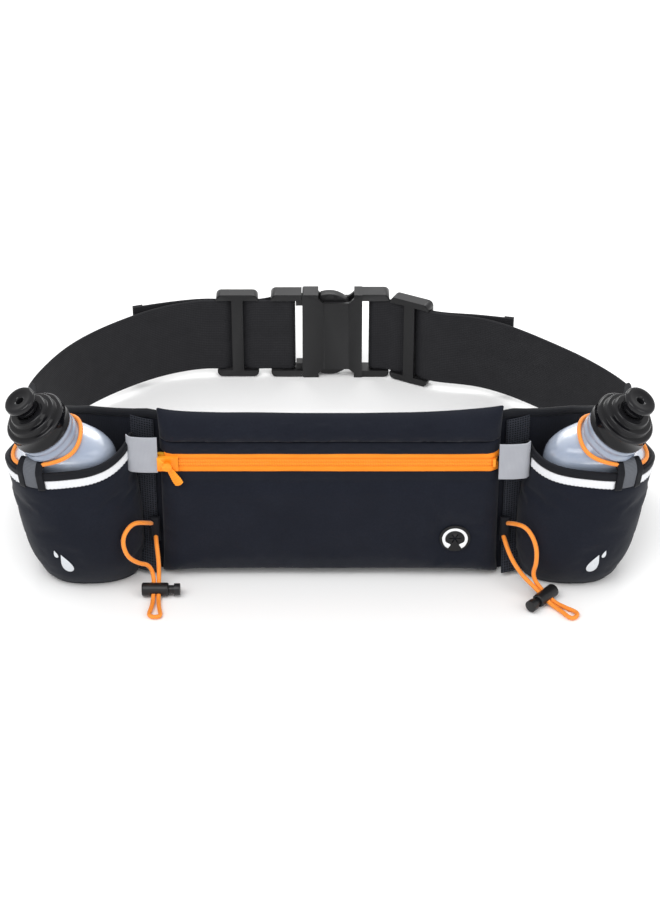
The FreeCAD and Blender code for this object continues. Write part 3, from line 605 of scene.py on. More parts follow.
def right_strap_path():
    """From the right wing, through the adjuster, round the buckle's bar and back to the folded tail."""
    seam = [(-x, y) for x, y in reversed(wing_seam())]
    side = [(174.0, 63.0), (164.5, 77.0), (150.5, 93.0), (131.5, 110.5), (111.0, 127.0), (88.0, 138.6)]
    wrap = [(33.2, 158.3), (29.7, 158.65), (27.2, 158.65), (25.6, 159.4), (24.6, 161.5), (25.6, 163.6),
            (28.0, 164.3), (30.8, 164.3), (34.4, 162.5)]
    tail = [(88.0, 141.6), (100.0, 139.4), (112.5, 136.8)]
    inward = woven_path(RIGHT_GLIDE, NEAR_LAYER)
    outward = woven_path(RIGHT_GLIDE, FAR_LAYER)[::-1]
    return seam + side + inward + wrap + outward + tail


def straps():
    """Both lengths of webbing, each with its folded and sewn tail."""
    for side, path, tail, body in (("left", left_strap_path(), slice(9), "belt"),
                                   ("right", right_strap_path(), slice(-9, None), None)):
        line = smooth(path, 420)
        end = line[tail]
        out = plan_normals(end)
        out *= np.sign(np.sum(out * end, axis=1))[:, None]
        folded = end + out * (WEB_T + 0.05)
        parts = [upright_band(run, WEB_LOW, WEB_LOW + WEB_W, WEB_T, step=2.5) for run in (line, folded)]
        made = piece("webbing_" + side, join_parts(parts), "webbing", body,
                     replaces=["strap_" + side])
        if body is None:
            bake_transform(made)


# Pouch

def ripple(points, scale, seed):
    """Smooth unevenness from -1 to 1 at each point, the same on every run."""
    flat = points.reshape(-1, 3) / scale
    shift = Vector((seed * 3.7, seed * 1.3, seed * 5.1))
    values = [noise.noise(Vector(place) + shift) for place in flat.tolist()]
    return np.array(values).reshape(points.shape[:-1])


def bump_at(value, centre, width):
    """A smooth bump of height one."""
    return np.exp(-((value - centre) / width) ** 2)


def pouch_edge(share):
    """Bottom and top of the pouch front, pulled out at its corners. share runs from -1 to 1."""
    corner = np.abs(share)
    bottom = 4.4 - 0.8 * corner ** 4 - 2.7 * corner ** 16
    top = 105.8 + np.where(share > 0, 4.9 * corner ** 3, 1.2 * corner ** 2 + 2.2 * corner ** 10)
    return bottom, top


def pouch_front(share, low, high, step):
    """Front surface of a stretch of the pouch between two height functions, as a grid of points."""
    bottom, top = pouch_edge(share)
    start = bottom if low is None else low + 0 * share
    end = top if high is None else high + 0 * share
    v = spread(1000.0, 1000.0 * step / 60.0, 60.0) / 1000.0
    z = start[:, None] + (end - start)[:, None] * v[None, :]
    height = (z - bottom[:, None]) / (top - bottom)[:, None]
    half = POUCH_HALF - 0.7 + 1.2 * np.abs(2 * height - 1) ** 6
    x = share[:, None] * half
    side = (1 - np.abs(share))[:, None] * half
    depth = 8.4 * rolled(side, CORNER_ROLL)
    depth = depth * rolled(z - bottom[:, None], CORNER_ROLL) * rolled(top[:, None] - z, 9.0)
    inner = np.clip(side / 30.0, 0, 1)
    belly = np.clip((z - 8) / 58.0, 0, 1)
    depth += 1.5 * inner * np.sin(math.pi * belly) ** 1.2
    depth -= 1.5 * bump_at(z, CHANNEL_Z, 0.9) * np.clip(side / 4.0, 0, 1)
    brow = np.clip((z - 93.2) / 0.9, 0, 1) * np.clip((top[:, None] - z) / 8.0, 0, 1)
    depth += 1.6 * brow * inner ** 0.5 - 1.5 * bump_at(z, BROW_Z, 0.8) * np.clip(side / 4.0, 0, 1)
    near_port = np.clip((np.hypot(x - PORT[0], z - PORT[1]) - 9.5) / 9.0, 0, 1)
    near_port = near_port * near_port * (3 - 2 * near_port)
    depth = 8.2 + (depth - 8.2) * near_port
    grid = np.stack([x, POUCH_BACK - depth, z], axis=2)
    soft = ripple(grid * [1, 0, 1.6], 26.0, 1) * 0.45 + ripple(grid * [1, 0, 1], 9.0, 2) * 0.12
    grid[..., 1] += soft * np.clip(depth / 8.0, 0, 1) * near_port
    return grid, side


def pouch_half(name, low, high, lip_low, lip_high, nodes):
    """One cloth of the pouch front, creased, with the lips beside the zip window turned in."""
    u = spread(2000.0, 2000.0 * 2.2 / 187.0, 75.0) / 1000.0 - 1.0
    grid, side = pouch_front(u, low, high, 1.6)
    z = grid[..., 2]
    held = (side < 2.0) | (np.abs(z - CHANNEL_Z) < 1.2) | (np.abs(z - BROW_Z) < 1.0)
    held |= (z < 7.0) | (z > 103.0) | (np.abs(z - ZIP_Z) < 9.0)
    held |= np.hypot(grid[..., 0] - PORT[0], z - PORT[1]) < 10.5
    grid = settle(grid, held, 4.0, 0.01, 1.0)
    if lip_high:
        grid[..., 1] += 0.9 * (1 - rolled(high - z, 1.6))
    if lip_low:
        grid[..., 1] += 0.9 * (1 - rolled(z - low, 1.6))
    edge = np.minimum(side, 10.0)
    for limit, used in ((low, lip_low), (high, lip_high)):
        if used:
            edge = np.minimum(edge, np.abs(z - limit))
    thick = 0.65 * rolled(edge + 0.2, 0.9)
    piece(name, slab(grid, thick), "pouch", "belt", replaces=nodes)


def pouch():
    """The pouch front either side of the zip window: a sewn channel below the zip and a brow above it."""
    pouch_half("pouch_cloth_lower", None, 73.0, False, True, ["pouch_front_lower"])
    pouch_half("pouch_cloth_upper", 84.8, None, True, False, ["pouch_front_upper"])


def tucked_in(x):
    """How far the zip draws back into the pouch near its two ends."""
    return 7.6 * (1 - rolled(POUCH_HALF - 0.4 - np.abs(x), 7.0))


def zip_parts():
    """Both tapes, each with a sewn groove, and the coil between them: two rows of fine loops side by side."""
    x = spread(182.4, 1.6, 0.6) - 90.4
    for tape, low, high, fold in (("lower", 70.5, 77.0, 72.0), ("upper", 80.6, 87.1, 80.6)):
        z = low + spread(high - low, 0.6, 0.5)
        bulge = np.sin(math.pi * np.clip((z - fold) / 5.0, 0, 1))
        grid = upright_grid(x, -54.1 - 1.0 * bulge[None, :] + tucked_in(x)[:, None], z)
        edge = np.minimum((z - low), (high - z))[None, :] + 0 * x[:, None]
        piece("zip_tape_cloth_" + tape, slab(grid, 0.4 * rolled(edge, 0.4)), "zip_tape", "belt",
              replaces=["zipper_tape_" + tape])
    x = np.arange(-88.6, 91.6, 0.225)
    z = ZIP_Z + np.linspace(-2.1, 2.1, 19)
    row = np.abs(z - ZIP_Z)
    hump = np.sqrt(np.maximum(1 - ((row - 1.02) / 1.12) ** 2, 0.0))
    slope = np.sign(z - ZIP_Z)[None, :] * (row[None, :] - 1.0) * 0.35
    loops = np.cos(2 * math.pi * (x[:, None] + slope) / 1.35)
    grid = upright_grid(x, -54.2 - 1.0 * hump[None, :] * (1 + 0.10 * loops) + tucked_in(x)[:, None], z)
    edge = np.minimum(z - z[0], z[-1] - z)[None, :] + 0 * x[:, None]
    piece("zip_coil_loops", slab(grid, 0.35 * rolled(edge, 0.3)), "zip_coil", "belt",
          replaces=["zipper_teeth"])


def zip_pull():
    """The braided pull, hanging from the slider's bail."""
    pivot = np.array([-89.0, -58.05, ZIP_Z])
    way = np.array([math.cos(math.radians(PULL_TILT)), 0.0, math.sin(math.radians(PULL_TILT))])
    reach = np.linspace(-1.6, 14.5, 60)
    outline = ((-1.6, 0.9), (-0.9, 1.9), (0.4, 2.3), (2.5, 1.5), (5.0, 1.9), (11.0, 2.6), (13.4, 2.5),
               (14.2, 1.7), (14.5, 0.8))
    width = np.interp(reach, [place for place, _ in outline], [half for _, half in outline])
    ridges = 1 + 0.055 * np.cos(2 * math.pi * reach / 1.5) * (reach > 3.0)
    path = pivot + way * reach[:, None]
    piece("zip_pull_braid", tube(path, width * ridges, 18, squash=0.32, flat=(0, 1, 0)), "enamel", "pull",
          replaces=["zip_pull"])


# Pocket, all on the left; flip makes the right one

def plane_height(plane, x, y):
    point, normal = plane
    return point[2] - (normal[0] * (x - point[0]) + normal[1] * (y - point[1])) / normal[2]


def rim_height(x, y):
    """The pocket's rim: the lower of two slopes, eased into each other."""
    front, rear = plane_height(RIM_FRONT, x, y), plane_height(RIM_REAR, x, y)
    ease = 3.0
    return -ease * np.log(np.exp(-front / ease) + np.exp(-rear / ease))


class Pocket:
    """The pocket's outer skin: ribs numbered round it, each a cubic through the four outlines.

    flare lifts the rim where it meets the pouch.
    """

    def __init__(self, count=140, flare=0.0, first=7.75, last=0.30):
        self.flare = flare
        rings = [smooth(outline, 400, closed=True) for outline in POCKET_OUTLINES]
        self.levels = np.array(POCKET_LEVELS)
        starts = [self.shares(outline, ring) for outline, ring in zip(POCKET_OUTLINES, rings)]
        u = np.linspace(first, last, count)
        self.ribs = np.zeros((count, len(rings), 2))
        for level, (ring, share) in enumerate(zip(rings, starts)):
            looped = np.concatenate([ring, ring[:1]])
            places = np.interp(u, np.arange(len(share)), share) * len(ring)
            self.ribs[:, level] = sample(np.arange(len(looped)), looped, places)
        self.rim = np.array([self.rim_of(i) for i in range(count)])

    def shares(self, outline, ring):
        """Where each control point lies along its ring."""
        found = [int(np.argmin(np.linalg.norm(ring - point, axis=1))) / len(ring)
                 for point in np.array(outline)]
        found[0] = 0.0
        return np.array(found + [1.0])

    def plan(self, index, z):
        """Plan position of a rib at a height, by the cubic through its four levels."""
        z = np.asarray(z, float)
        total = np.zeros(z.shape + (2,))
        for k, level in enumerate(self.levels):
            weight = np.ones_like(z)
            for m, other in enumerate(self.levels):
                if m != k:
                    weight = weight * (z - other) / (level - other)
            total += weight[..., None] * self.ribs[index, k]
        return total

    def rim_of(self, index):
        """Height where a rib meets the rim's slopes, found by halving steps."""
        z = 75.0
        for _ in range(12):
            x, y = self.plan(index, z)
            lift = self.flare * (y < -33) * np.clip((x + 140.0) / 30.0, 0, 1) ** 2
            z = 0.5 * z + 0.5 * (rim_height(x, y) + lift)
        return z

    def grid(self, low, high, rows, span=None):
        """Points between two heights under the rim, each a function of rib number giving z."""
        indices = range(len(self.ribs)) if span is None else range(*span)
        grid = []
        for index in indices:
            bottom, top = low(index), high(index)
            z = bottom + (top - bottom) * rows
            grid.append(np.concatenate([self.plan(index, z), z[:, None]], axis=1))
        return np.array(grid)


def push(grid, distance):
    """A grid moved outwards along its own normals."""
    return grid + surface_normals(grid) * distance


def settle(grid, held, pressure, slack, cap):
    """A cloth simulation: the grid creases between its held points.

    It is cut a little too large and pressed outwards, and no point moves further than cap.
    """
    nu, nv = grid.shape[:2]
    enlarged = 0.01            # ten times life size, which keeps the solver steady
    faces = [(a, d, c, b) for a, b, c, d in quads(nu, nv)]
    mesh = bpy.data.meshes.new("cloth_run")
    mesh.from_pydata((grid.reshape(-1, 3) * enlarged).tolist(), [], faces)
    run = add_object("cloth_run", mesh)
    run.vertex_groups.new(name="held").add(np.flatnonzero(held.ravel()).tolist(), 1.0, "REPLACE")
    modifier = run.modifiers.new("cloth", "CLOTH")
    settings = modifier.settings
    settings.quality = 5
    settings.mass = 0.3
    settings.tension_stiffness = settings.compression_stiffness = 15
    settings.shear_stiffness = 5
    settings.bending_stiffness = 2.0
    settings.vertex_group_mass = "held"
    settings.shrink_min = -slack
    settings.use_pressure = True
    settings.uniform_pressure_force = pressure
    settings.effector_weights.gravity = 0
    modifier.collision_settings.use_collision = False
    for number in range(1, 21):
        bpy.context.scene.frame_set(number)
    done = run.evaluated_get(bpy.context.evaluated_depsgraph_get())
    places = np.empty(nu * nv * 3)
    done.data.vertices.foreach_get("co", places)
    moved = places.reshape(grid.shape) / enlarged - grid
    bpy.data.objects.remove(run)
    bpy.context.scene.frame_set(1)
    size = np.linalg.norm(moved, axis=2)[..., None]
    return grid + np.round(moved * np.minimum(1, cap / np.maximum(size, 1e-6)), 3)


def pocket_skin(pocket):
    rows = spread(1000.0, 30.0, 14.0) / 1000.0
    grid = pocket.grid(lambda i: 0.6, lambda i: pocket.rim[i] - 2.0, rows)
    below_rim = pocket.rim[:, None] - grid[..., 2]
    to_print = np.linalg.norm(grid - [-147.5, -66.5, 23.0], axis=2)
    calm = np.clip((below_rim - 12) / 14, 0, 1) * np.clip((grid[..., 2] - 1) / 10, 0, 1)
    calm *= np.clip((to_print - 10) / 12, 0, 1)
    soft = ripple(grid, 30.0, 5) * 0.7 + ripple(grid, 12.0, 6) * 0.2 - 0.35
    grid = push(grid, (soft * calm)[..., None])
    held = (below_rim < 11) | (grid[..., 2] < 3) | (to_print < 11)
    held[:2], held[-2:] = True, True
    return settle(grid, held, 3.0, 0.012, 1.6)


def pocket_side(side):
    flip = side == "right"
    pocket = Pocket(flare=POCKET_FLARE[side])
    grid = pocket_skin(pocket)
    half = np.full(grid.shape[:2], 0.7)
    half *= rolled(np.minimum(grid[..., 2] - 0.6, 5.0) + 0.3, 0.8)
    skin = slab(push(grid, -0.7), half)
    base = pocket_base(pocket)
    piece("pocket_cloth_" + side, join_parts([skin, base]), "pocket", "belt", flip,
          ["bottle_pocket_" + side])

    rows = spread(BINDING_H, 0.9, 1.3) / BINDING_H
    grid = pocket.grid(lambda i: pocket.rim[i] - BINDING_H, lambda i: pocket.rim[i], rows)
    edge = np.minimum(rows, 1 - rows)[None, :] * BINDING_H + np.zeros((len(grid), 1))
    piece("pocket_rim_binding_" + side, slab(push(grid, -0.45), 1.35 * rolled(edge, 1.3)), "binding",
          "belt", flip, ["pocket_hem_" + side])
    reflective_band(side, pocket, flip)
    return pocket


def pocket_base(pocket):
    """The pocket's floor panel, a shallow dish from the foot of the skin to the belt."""
    foot = np.array([np.append(pocket.plan(i, 0.6), 0.9) for i in range(len(pocket.ribs))])
    behind = foot[0] + (foot[-1] - foot[0]) * np.linspace(0, 1, len(foot))[:, None]
    rows = np.linspace(0, 1, 14)
    grid = foot[:, None, :] * (1 - rows)[None, :, None] + behind[:, None, :] * rows[None, :, None]
    return slab(grid, np.full(grid.shape[:2], 0.5))


def reflective_band(side, pocket, flip):
    """The pale reflective strip sewn under the rim, in the two runs either side of the cord tab."""
    shown = [i for i in range(len(pocket.ribs)) if pocket.plan(i, pocket.rim[i] - 7)[0] < -110.5
             and pocket.plan(i, pocket.rim[i] - 7)[1] < -33]
    tab_low, tab_high = tab_span(pocket)
    runs = [[i for i in shown if i < tab_low], [i for i in shown if i > tab_high]]
    parts, rows_of_thread = [], []
    for run in runs:
        rows = spread(STRIP_H, 0.9, 0.3) / STRIP_H
        grid = pocket.grid(lambda i: pocket.rim[i] - STRIP_TOP - STRIP_H, lambda i: pocket.rim[i] - STRIP_TOP,
                           rows, (run[0], run[-1] + 1))
        edge = np.minimum(rows, 1 - rows)[None, :] * STRIP_H + np.zeros((len(run), 1))
        parts.append(slab(push(grid, 0.45), 0.28 * rolled(edge, 0.3)))
        normal = surface_normals(grid)
        for row in (2, -3):
            path = grid[:, row] + normal[:, row] * 0.75
            rows_of_thread.append(stitch_row(path, normal[:, row], 1.5, 0.7, 0.13, 0.0))
    piece("reflective_band_" + side, join_parts(parts), "reflective", "belt", flip,
          ["reflective_strip_" + side])
    piece("reflective_band_thread_" + side, join_parts(rows_of_thread), "white_thread", "belt",
          flip)


def tab_span(pocket):
    """First and last rib of the bottle cord's tab, 15 mm wide, round the pocket's outer front."""
    spots = np.array([pocket.plan(i, pocket.rim[i] - 3) for i in range(len(pocket.ribs))])
    middle = int(np.argmin(np.linalg.norm(spots - [-163.5, -67.0], axis=1)))
    reach = np.abs(lengths(spots) - lengths(spots)[middle])
    inside = np.where(reach < 7.5)[0]
    return inside[0], inside[-1]


def cord_tab(side, pocket, flip):
    """A grey tape between two black sleeves, folded over the pocket's rim."""
    low = tab_span(pocket)[0]
    fine = Pocket(900, POCKET_FLARE[side])
    spots = np.array([fine.plan(i, fine.rim[i] - 3) for i in range(len(fine.ribs))])
    run = lengths(spots)
    start = run[int(np.argmin(np.linalg.norm(spots - pocket.plan(low, pocket.rim[low] - 3), axis=1)))]
    sleeves = []
    for first, last, lift, drop, kind in (
            (3.4, 11.6, 0.75, 9.6, "dark_tape"),
            (0.0, 3.8, 1.25, 10.6, "binding"),
            (11.2, 15.0, 1.25, 10.6, "binding")):
        places = start + first + spread(last - first, 0.8, 0.6)
        indices = np.clip(np.searchsorted(run, places), 0, len(run) - 1)
        grid = np.array([over_the_rim(fine, index, lift, drop) for index in indices])
        rows = np.arange(grid.shape[1])
        across = np.minimum(np.arange(len(grid)), len(grid) - 1 - np.arange(len(grid)))
        half = 0.55 * np.clip(0.35 + 0.25 * across, 0, 1)[:, None] * np.clip(0.4 + 0.3 * rows, 0, 1)[None, :]
        half = half * np.clip(0.4 + 0.3 * rows[::-1], 0, 1)[None, :]
        part = slab(grid, half)
        if kind == "binding":
            sleeves.append(part)
            continue
        piece("cord_tab_tape_" + side, part, kind, "belt", flip)
    piece("cord_tab_sleeves_" + side, join_parts(sleeves), "binding", "belt", flip,
          ["bottle_cord_tab_" + side])


def over_the_rim(pocket, index, lift, drop):
    """One line of a folded tab: up the outside of the rim, over its top and a little way down inside."""
    top = pocket.rim[index]
    z = top - drop + np.linspace(0, 1, 12) * (drop - 0.6)
    outside = np.concatenate([pocket.plan(index, z), z[:, None]], axis=1)
    ahead = pocket.plan(min(index + 1, len(pocket.ribs) - 1), top) - pocket.plan(max(index - 1, 0), top)
    out = np.array([ahead[1], -ahead[0], 0.0])
    out /= np.linalg.norm(out)
    if out @ np.append(pocket.plan(index, top) - np.array([-135.0, -25.0]), 0) < 0:
        out = -out
    outside += out * lift
    crown = np.append(pocket.plan(index, top), top)
    over = [crown + out * lift * 0.8 + [0, 0, 1.0], crown + out * (lift * 0.5 - 0.4) + [0, 0, 3.0],
            crown + out * (lift * 0.4 - 1.4) + [0, 0, 5.0], crown + out * -2.6 + [0, 0, 6.6],
            crown - out * 3.7 + [0, 0, 6.2], crown - out * 4.0 + [0, 0, 4.6], crown - out * 3.4 + [0, 0, 1.5]]
    return np.concatenate([outside, np.array(over)])


def drop_print(side, pocket, flip):
    """A plain water drop with a small one beside it, printed on the lower front of the pocket."""
    parts = []
    for centre, size, lean in (((-146.2, 22.0), (3.3, 7.0), 0.36), ((-151.6, 28.4), (1.2, 2.6), 0.30)):
        turns = np.linspace(0, 2 * math.pi, 40, endpoint=False)
        rings = np.array([0.02, 0.35, 0.7, 0.93, 1.0])
        a, r = turns[:, None], rings[None, :]
        across = size[0] * 1.25 * np.sin(a) * np.sin(a / 2) ** 1.3
        rise = size[1] * np.cos(a)
        x = centre[0] + r * (across * math.cos(lean) - rise * math.sin(lean))
        z = centre[1] + r * (rise * math.cos(lean) + across * math.sin(lean))
        grid = on_pocket(pocket, x, z, 0.42)
        edge = (1 - r) * size[0] + 0 * a
        parts.append(slab(grid, 0.12 * rolled(edge + 0.02, 0.12), ring=True))
    piece("drop_print_pad_" + side, join_parts(parts), "print", "belt", flip,
          ["drop_print_" + side])


def on_pocket(pocket, x, z, lift):
    """Points of the pocket's front with given x and z, lifted off its surface."""
    grid = np.zeros(x.shape + (3,))
    front = [i for i in range(len(pocket.ribs)) if pocket.ribs[i, 1, 1] < -40]
    for spot in np.ndindex(x.shape):
        plan = np.array([pocket.plan(i, z[spot]) for i in front])
        order = np.argsort(plan[:, 0])
        y = np.interp(x[spot], plan[order, 0], plan[order, 1])
        grid[spot] = x[spot], y - lift, z[spot]
    return grid


# Bottle, all on the left

def oval_ring(centre, wide, thin, half_wide, half_thin, count=64):
    """A ring of points: an ellipse with slightly squared corners."""
    turn = np.linspace(0, 2 * math.pi, count, endpoint=False)
    c, s = np.cos(turn), np.sin(turn)
    square = (c ** 4 + s ** 4) ** -0.08
    return (np.array(centre)[None, :] + np.array(wide)[None, :] * (half_wide * c * square)[:, None]
            + np.array(thin)[None, :] * (half_thin * s * square)[:, None])


def bottle_rings(grow):
    """Rings from the bottle's foot to its neck, blended so that the shoulder turns smoothly."""
    up, axis = BODY_AXIS, NECK_AXIS
    wide = (WIDE_HINT - up * up.dot(WIDE_HINT)).normalized()
    sections = [(0, 4, 2), (0, 20, 10.5), (3, 23.5, 13.5), (12, 26.5, 16), (30, 29, 16.3), (46, 29, 16.3),
                (58, 29, 16.3), (67, 29, 16.3)]
    bottom = SHOULDER - up * BODY_LENGTH
    keys = [(np.array(bottom + up * rise), np.array(up), w, t) for rise, w, t in sections]
    for share, w, t in ((0.28, 26.8, 16.0), (0.48, 21.0, 15.4), (0.64, 15.6, 14.8), (0.72, 14.2, 14.2)):
        lean = (up * (1 - share) + axis * share).normalized()
        keys.append((np.array(SHOULDER + axis * (NECK_RISE * share)), np.array(lean), w, t))
    rows = []
    for centre, lean, w, t in keys:
        lean = Vector(lean)
        across = (wide - lean * lean.dot(wide)).normalized()
        rows.append(oval_ring(centre, across, across.cross(lean), w + grow, t + grow))
    rows = np.array(rows)
    table = rows.reshape(len(rows), -1)
    dense = smooth(table, 60)
    return dense.reshape(60, -1, 3)


def lathe(profile, base, axis, count=64):
    """A profile of (height, radius) pairs turned about an axis."""
    axis = Vector(axis).normalized()
    first = axis.orthogonal().normalized()
    second = axis.cross(first)
    turn = np.linspace(0, 2 * math.pi, count, endpoint=False)
    rows = []
    for height, radius in profile:
        rows.append(np.array(base)[None, :] + np.array(axis)[None, :] * height
                    + np.array(first)[None, :] * (np.cos(turn) * radius)[:, None]
                    + np.array(second)[None, :] * (np.sin(turn) * radius)[:, None])
    return ring_skin(np.array(rows))


def ring_skin(rows):
    """Faces round a stack of rings. The profile is a closed one, out along the skin and back inside it."""
    faces = list(quads(*rows.shape[:2], loop_v=True))
    return rows.reshape(-1, 3), faces, grid_lengths(rows).reshape(-1, 2)


def bottle(side, flip):
    base = np.array(SHOULDER + NECK_AXIS * NECK_RISE)
    outer = bottle_rings(0.0)
    inner = bottle_rings(-1.1)[::-1]
    skin = ring_skin(np.concatenate([outer, inner, outer[:1]]))
    neck = lathe([(-9.5, 13.6), (-9.0, 15.4), (-8.4, 16.3), (-7.6, 16.6), (-5.6, 16.3), (-4.4, 15.7),
                  (-4.0, 15.9), (-3.6, 16.4), (-1.4, 16.5), (-0.8, 16.2), (-0.6, 15.4), (-0.5, 13.2),
                  (0.6, 13.0), (1.2, 13.5), (2.0, 13.0), (4.0, 13.0), (4.6, 13.5), (5.4, 13.0), (8.4, 13.0),
                  (8.9, 12.6), (8.9, 11.4), (-9.5, 11.4), (-9.5, 13.6)],
                 base, NECK_AXIS)
    piece("bottle_skin_" + side, join_parts([skin, neck]), "bottle", f"bottle_{side}_body",
          flip, ["bottle_" + side])
    return BVHTree.FromPolygons(skin[0].tolist(), skin[1])


def cap(side, flip):
    """The screw cap with its two steps, and the pull-up nozzle."""
    base = np.array(SHOULDER + NECK_AXIS * NECK_RISE)

    shell = lathe([(0.0, 13.6), (0.0, 16.5), (0.4, 16.9), (1.2, 17.0), (1.3, 16.9), (8.3, 16.9),
                   (8.5, 17.0), (9.3, 16.9), (9.9, 16.4), (10.1, 15.6), (10.1, 14.3), (10.4, 13.9),
                   (12.8, 13.9), (13.4, 13.5), (13.6, 12.9), (13.6, 11.2), (13.9, 10.7), (16.2, 10.6),
                   (16.8, 10.2), (17.0, 9.6), (17.0, 5.2), (16.6, 5.0), (10.2, 5.0), (10.0, 5.3),
                   (10.0, 13.2), (9.6, 13.6), (0.0, 13.6)],
                  base, NECK_AXIS, 96)
    piece("cap_shell_" + side, shell, "gloss", "cap_" + side, flip, ["bottle_cap_" + side])
    spout = lathe([(10.2, 2.0), (10.2, 4.4), (10.5, 4.7), (16.6, 4.7), (17.3, 5.2), (17.5, 6.2),
                   (17.9, 6.5), (19.0, 6.3), (20.6, 6.2), (21.8, 6.6), (22.6, 7.9), (23.1, 8.7),
                   (23.9, 9.0), (25.4, 8.9), (26.1, 8.4), (26.4, 7.6), (26.3, 6.2), (25.9, 5.2),
                   (25.8, 3.4), (25.6, 2.4), (24.6, 2.0), (10.2, 2.0)],
                  base, NECK_AXIS, 64)
    piece("spout_" + side, spout, "gloss", f"nozzle_{side}_body", flip, ["nozzle_" + side])


def bottle_loop(side, flip, skin):
    """The orange elastic from the cord tab, drawn tight round the bottle's shoulder."""
    base = SHOULDER + NECK_AXIS * NECK_RISE
    centre = base - NECK_AXIS * 10.4
    first = NECK_AXIS.orthogonal().normalized()
    second = NECK_AXIS.cross(first)
    ring = []
    for turn in np.linspace(0, 2 * math.pi, 120, endpoint=False):
        out = first * math.cos(turn) + second * math.sin(turn)
        hit = skin.ray_cast(centre + out * 60, -out)[0]
        ring.append(hit + out * (CORD_D / 2 + 0.15))
    piece("bottle_loop_" + side, closed_tube(np.array(ring), CORD_D / 2 - 0.05, 12), "elastic", "belt",
          flip, ["bottle_elastic_" + side])


def closed_tube(ring, radius, sides):
    """A round cord along a ring of points, joined end to end."""
    way = np.roll(ring, -1, axis=0) - np.roll(ring, 1, axis=0)
    way /= np.linalg.norm(way, axis=1)[:, None]
    out = ring - ring.mean(axis=0)
    out -= way * np.sum(out * way, axis=1)[:, None]
    out /= np.linalg.norm(out, axis=1)[:, None]
    up = np.cross(way, out)
    turn = np.linspace(0, 2 * math.pi, sides, endpoint=False)
    points = (ring[:, None] + radius * (np.cos(turn)[None, :, None] * out[:, None]
                                        + np.sin(turn)[None, :, None] * up[:, None])).reshape(-1, 3)
    n = len(ring)
    faces = list(quads(n, sides, loop_u=True, loop_v=True))
    run = np.linalg.norm(np.diff(ring, axis=0, prepend=ring[:1]), axis=1).cumsum()
    uvs = np.stack([np.repeat(run, sides), np.tile(turn * radius, n)], axis=1)
    return points, faces, uvs


# Hardware and small fittings

def bevelled(node, name, material, body, width):
    """A CAD part's own shape with its edges rounded over."""
    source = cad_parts[node]
    mesh = source.data.copy()
    mesh.name = name
    work = bmesh.new()
    work.from_mesh(mesh)
    bmesh.ops.remove_doubles(work, verts=work.verts, dist=0.00001)
    work.to_mesh(mesh)
    work.free()
    mesh.materials.clear()
    mesh.materials.append(MATERIALS[material])
    made = add_object(name, mesh)
    bevel = made.modifiers.new("edges", "BEVEL")
    bevel.width = width * MM
    bevel.segments = 3
    bevel.limit_method = "ANGLE"
    bevel.angle_limit = math.radians(28)
    apply_modifiers(made)
    small = [face.area < SMALL_FACE for face in made.data.polygons]
    made.data.polygons.foreach_set("use_smooth", small)
    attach(made, body)
    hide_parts(node)
    return made


def apply_modifiers(made):
    bpy.context.view_layer.update()
    done = bpy.data.meshes.new_from_object(made.evaluated_get(bpy.context.evaluated_depsgraph_get()))
    made.modifiers.clear()
    made.data = done


def hardware():
    """The hard parts, which keep the CAD's own shapes."""
    for node, name, body, width in (
            ("buckle_male", "buckle_plug", "belt", 0.55),
            ("buckle_prong_upper", "buckle_arm_upper", "prong_upper", 0.5),
            ("buckle_prong_lower", "buckle_arm_lower", "prong_lower", 0.5),
            ("buckle_female", "buckle_socket", "socket", 0.7),
            ("adjuster_left", "slide_left", "belt", 0.7),
            ("adjuster_right", "slide_right", "socket", 0.7)):
        bevelled(node, name, "plastic", body, width)
    for side in SIDES:
        for part, body in (("barrel", "toggle_"), ("plunger", "plunger_")):
            bevelled(f"toggle_{part}_{side}", f"cord_lock_{part}_{side}", "plastic_smooth",
                     body + side, 0.3)
    bevelled("zip_slider", "zip_slider_body", "enamel", "slider", 0.25)
    bevelled("zip_stop", "zip_end_stop", "zip_coil", "belt", 0.2)
    bevelled("earphone_grommet", "earphone_rubber", "rubber", "belt", 0.25)


def port_ring():
    """The open ring printed round the earphone port, with a thicker lobe at each end."""
    x0, z0 = PORT
    turn = np.radians(np.linspace(-60, 240, 80))
    fat = 0.85 + 0.6 * np.clip((np.abs(np.degrees(turn) - 90) - 112) / 22, 0, 1)
    rows = np.linspace(-1, 1, 7)
    radius = 6.3 + rows[None, :] * fat[:, None] - 0.5 * (fat - 0.85)[:, None]
    grid = np.zeros(radius.shape + (3,))
    grid[..., 0] = x0 + radius * np.cos(turn)[:, None]
    grid[..., 2] = z0 + radius * np.sin(turn)[:, None]
    grid[..., 1] = POUCH_FRONT - 0.8 - 0.2
    end = np.minimum(turn - turn[0], turn[-1] - turn) * 6.6
    edge = np.minimum((1 - np.abs(rows))[None, :] * fat[:, None], end[:, None])
    piece("port_ring_print", slab(grid, 0.24 * rolled(edge, 0.3)), "white_print", "belt",
          replaces=["earphone_ring"])


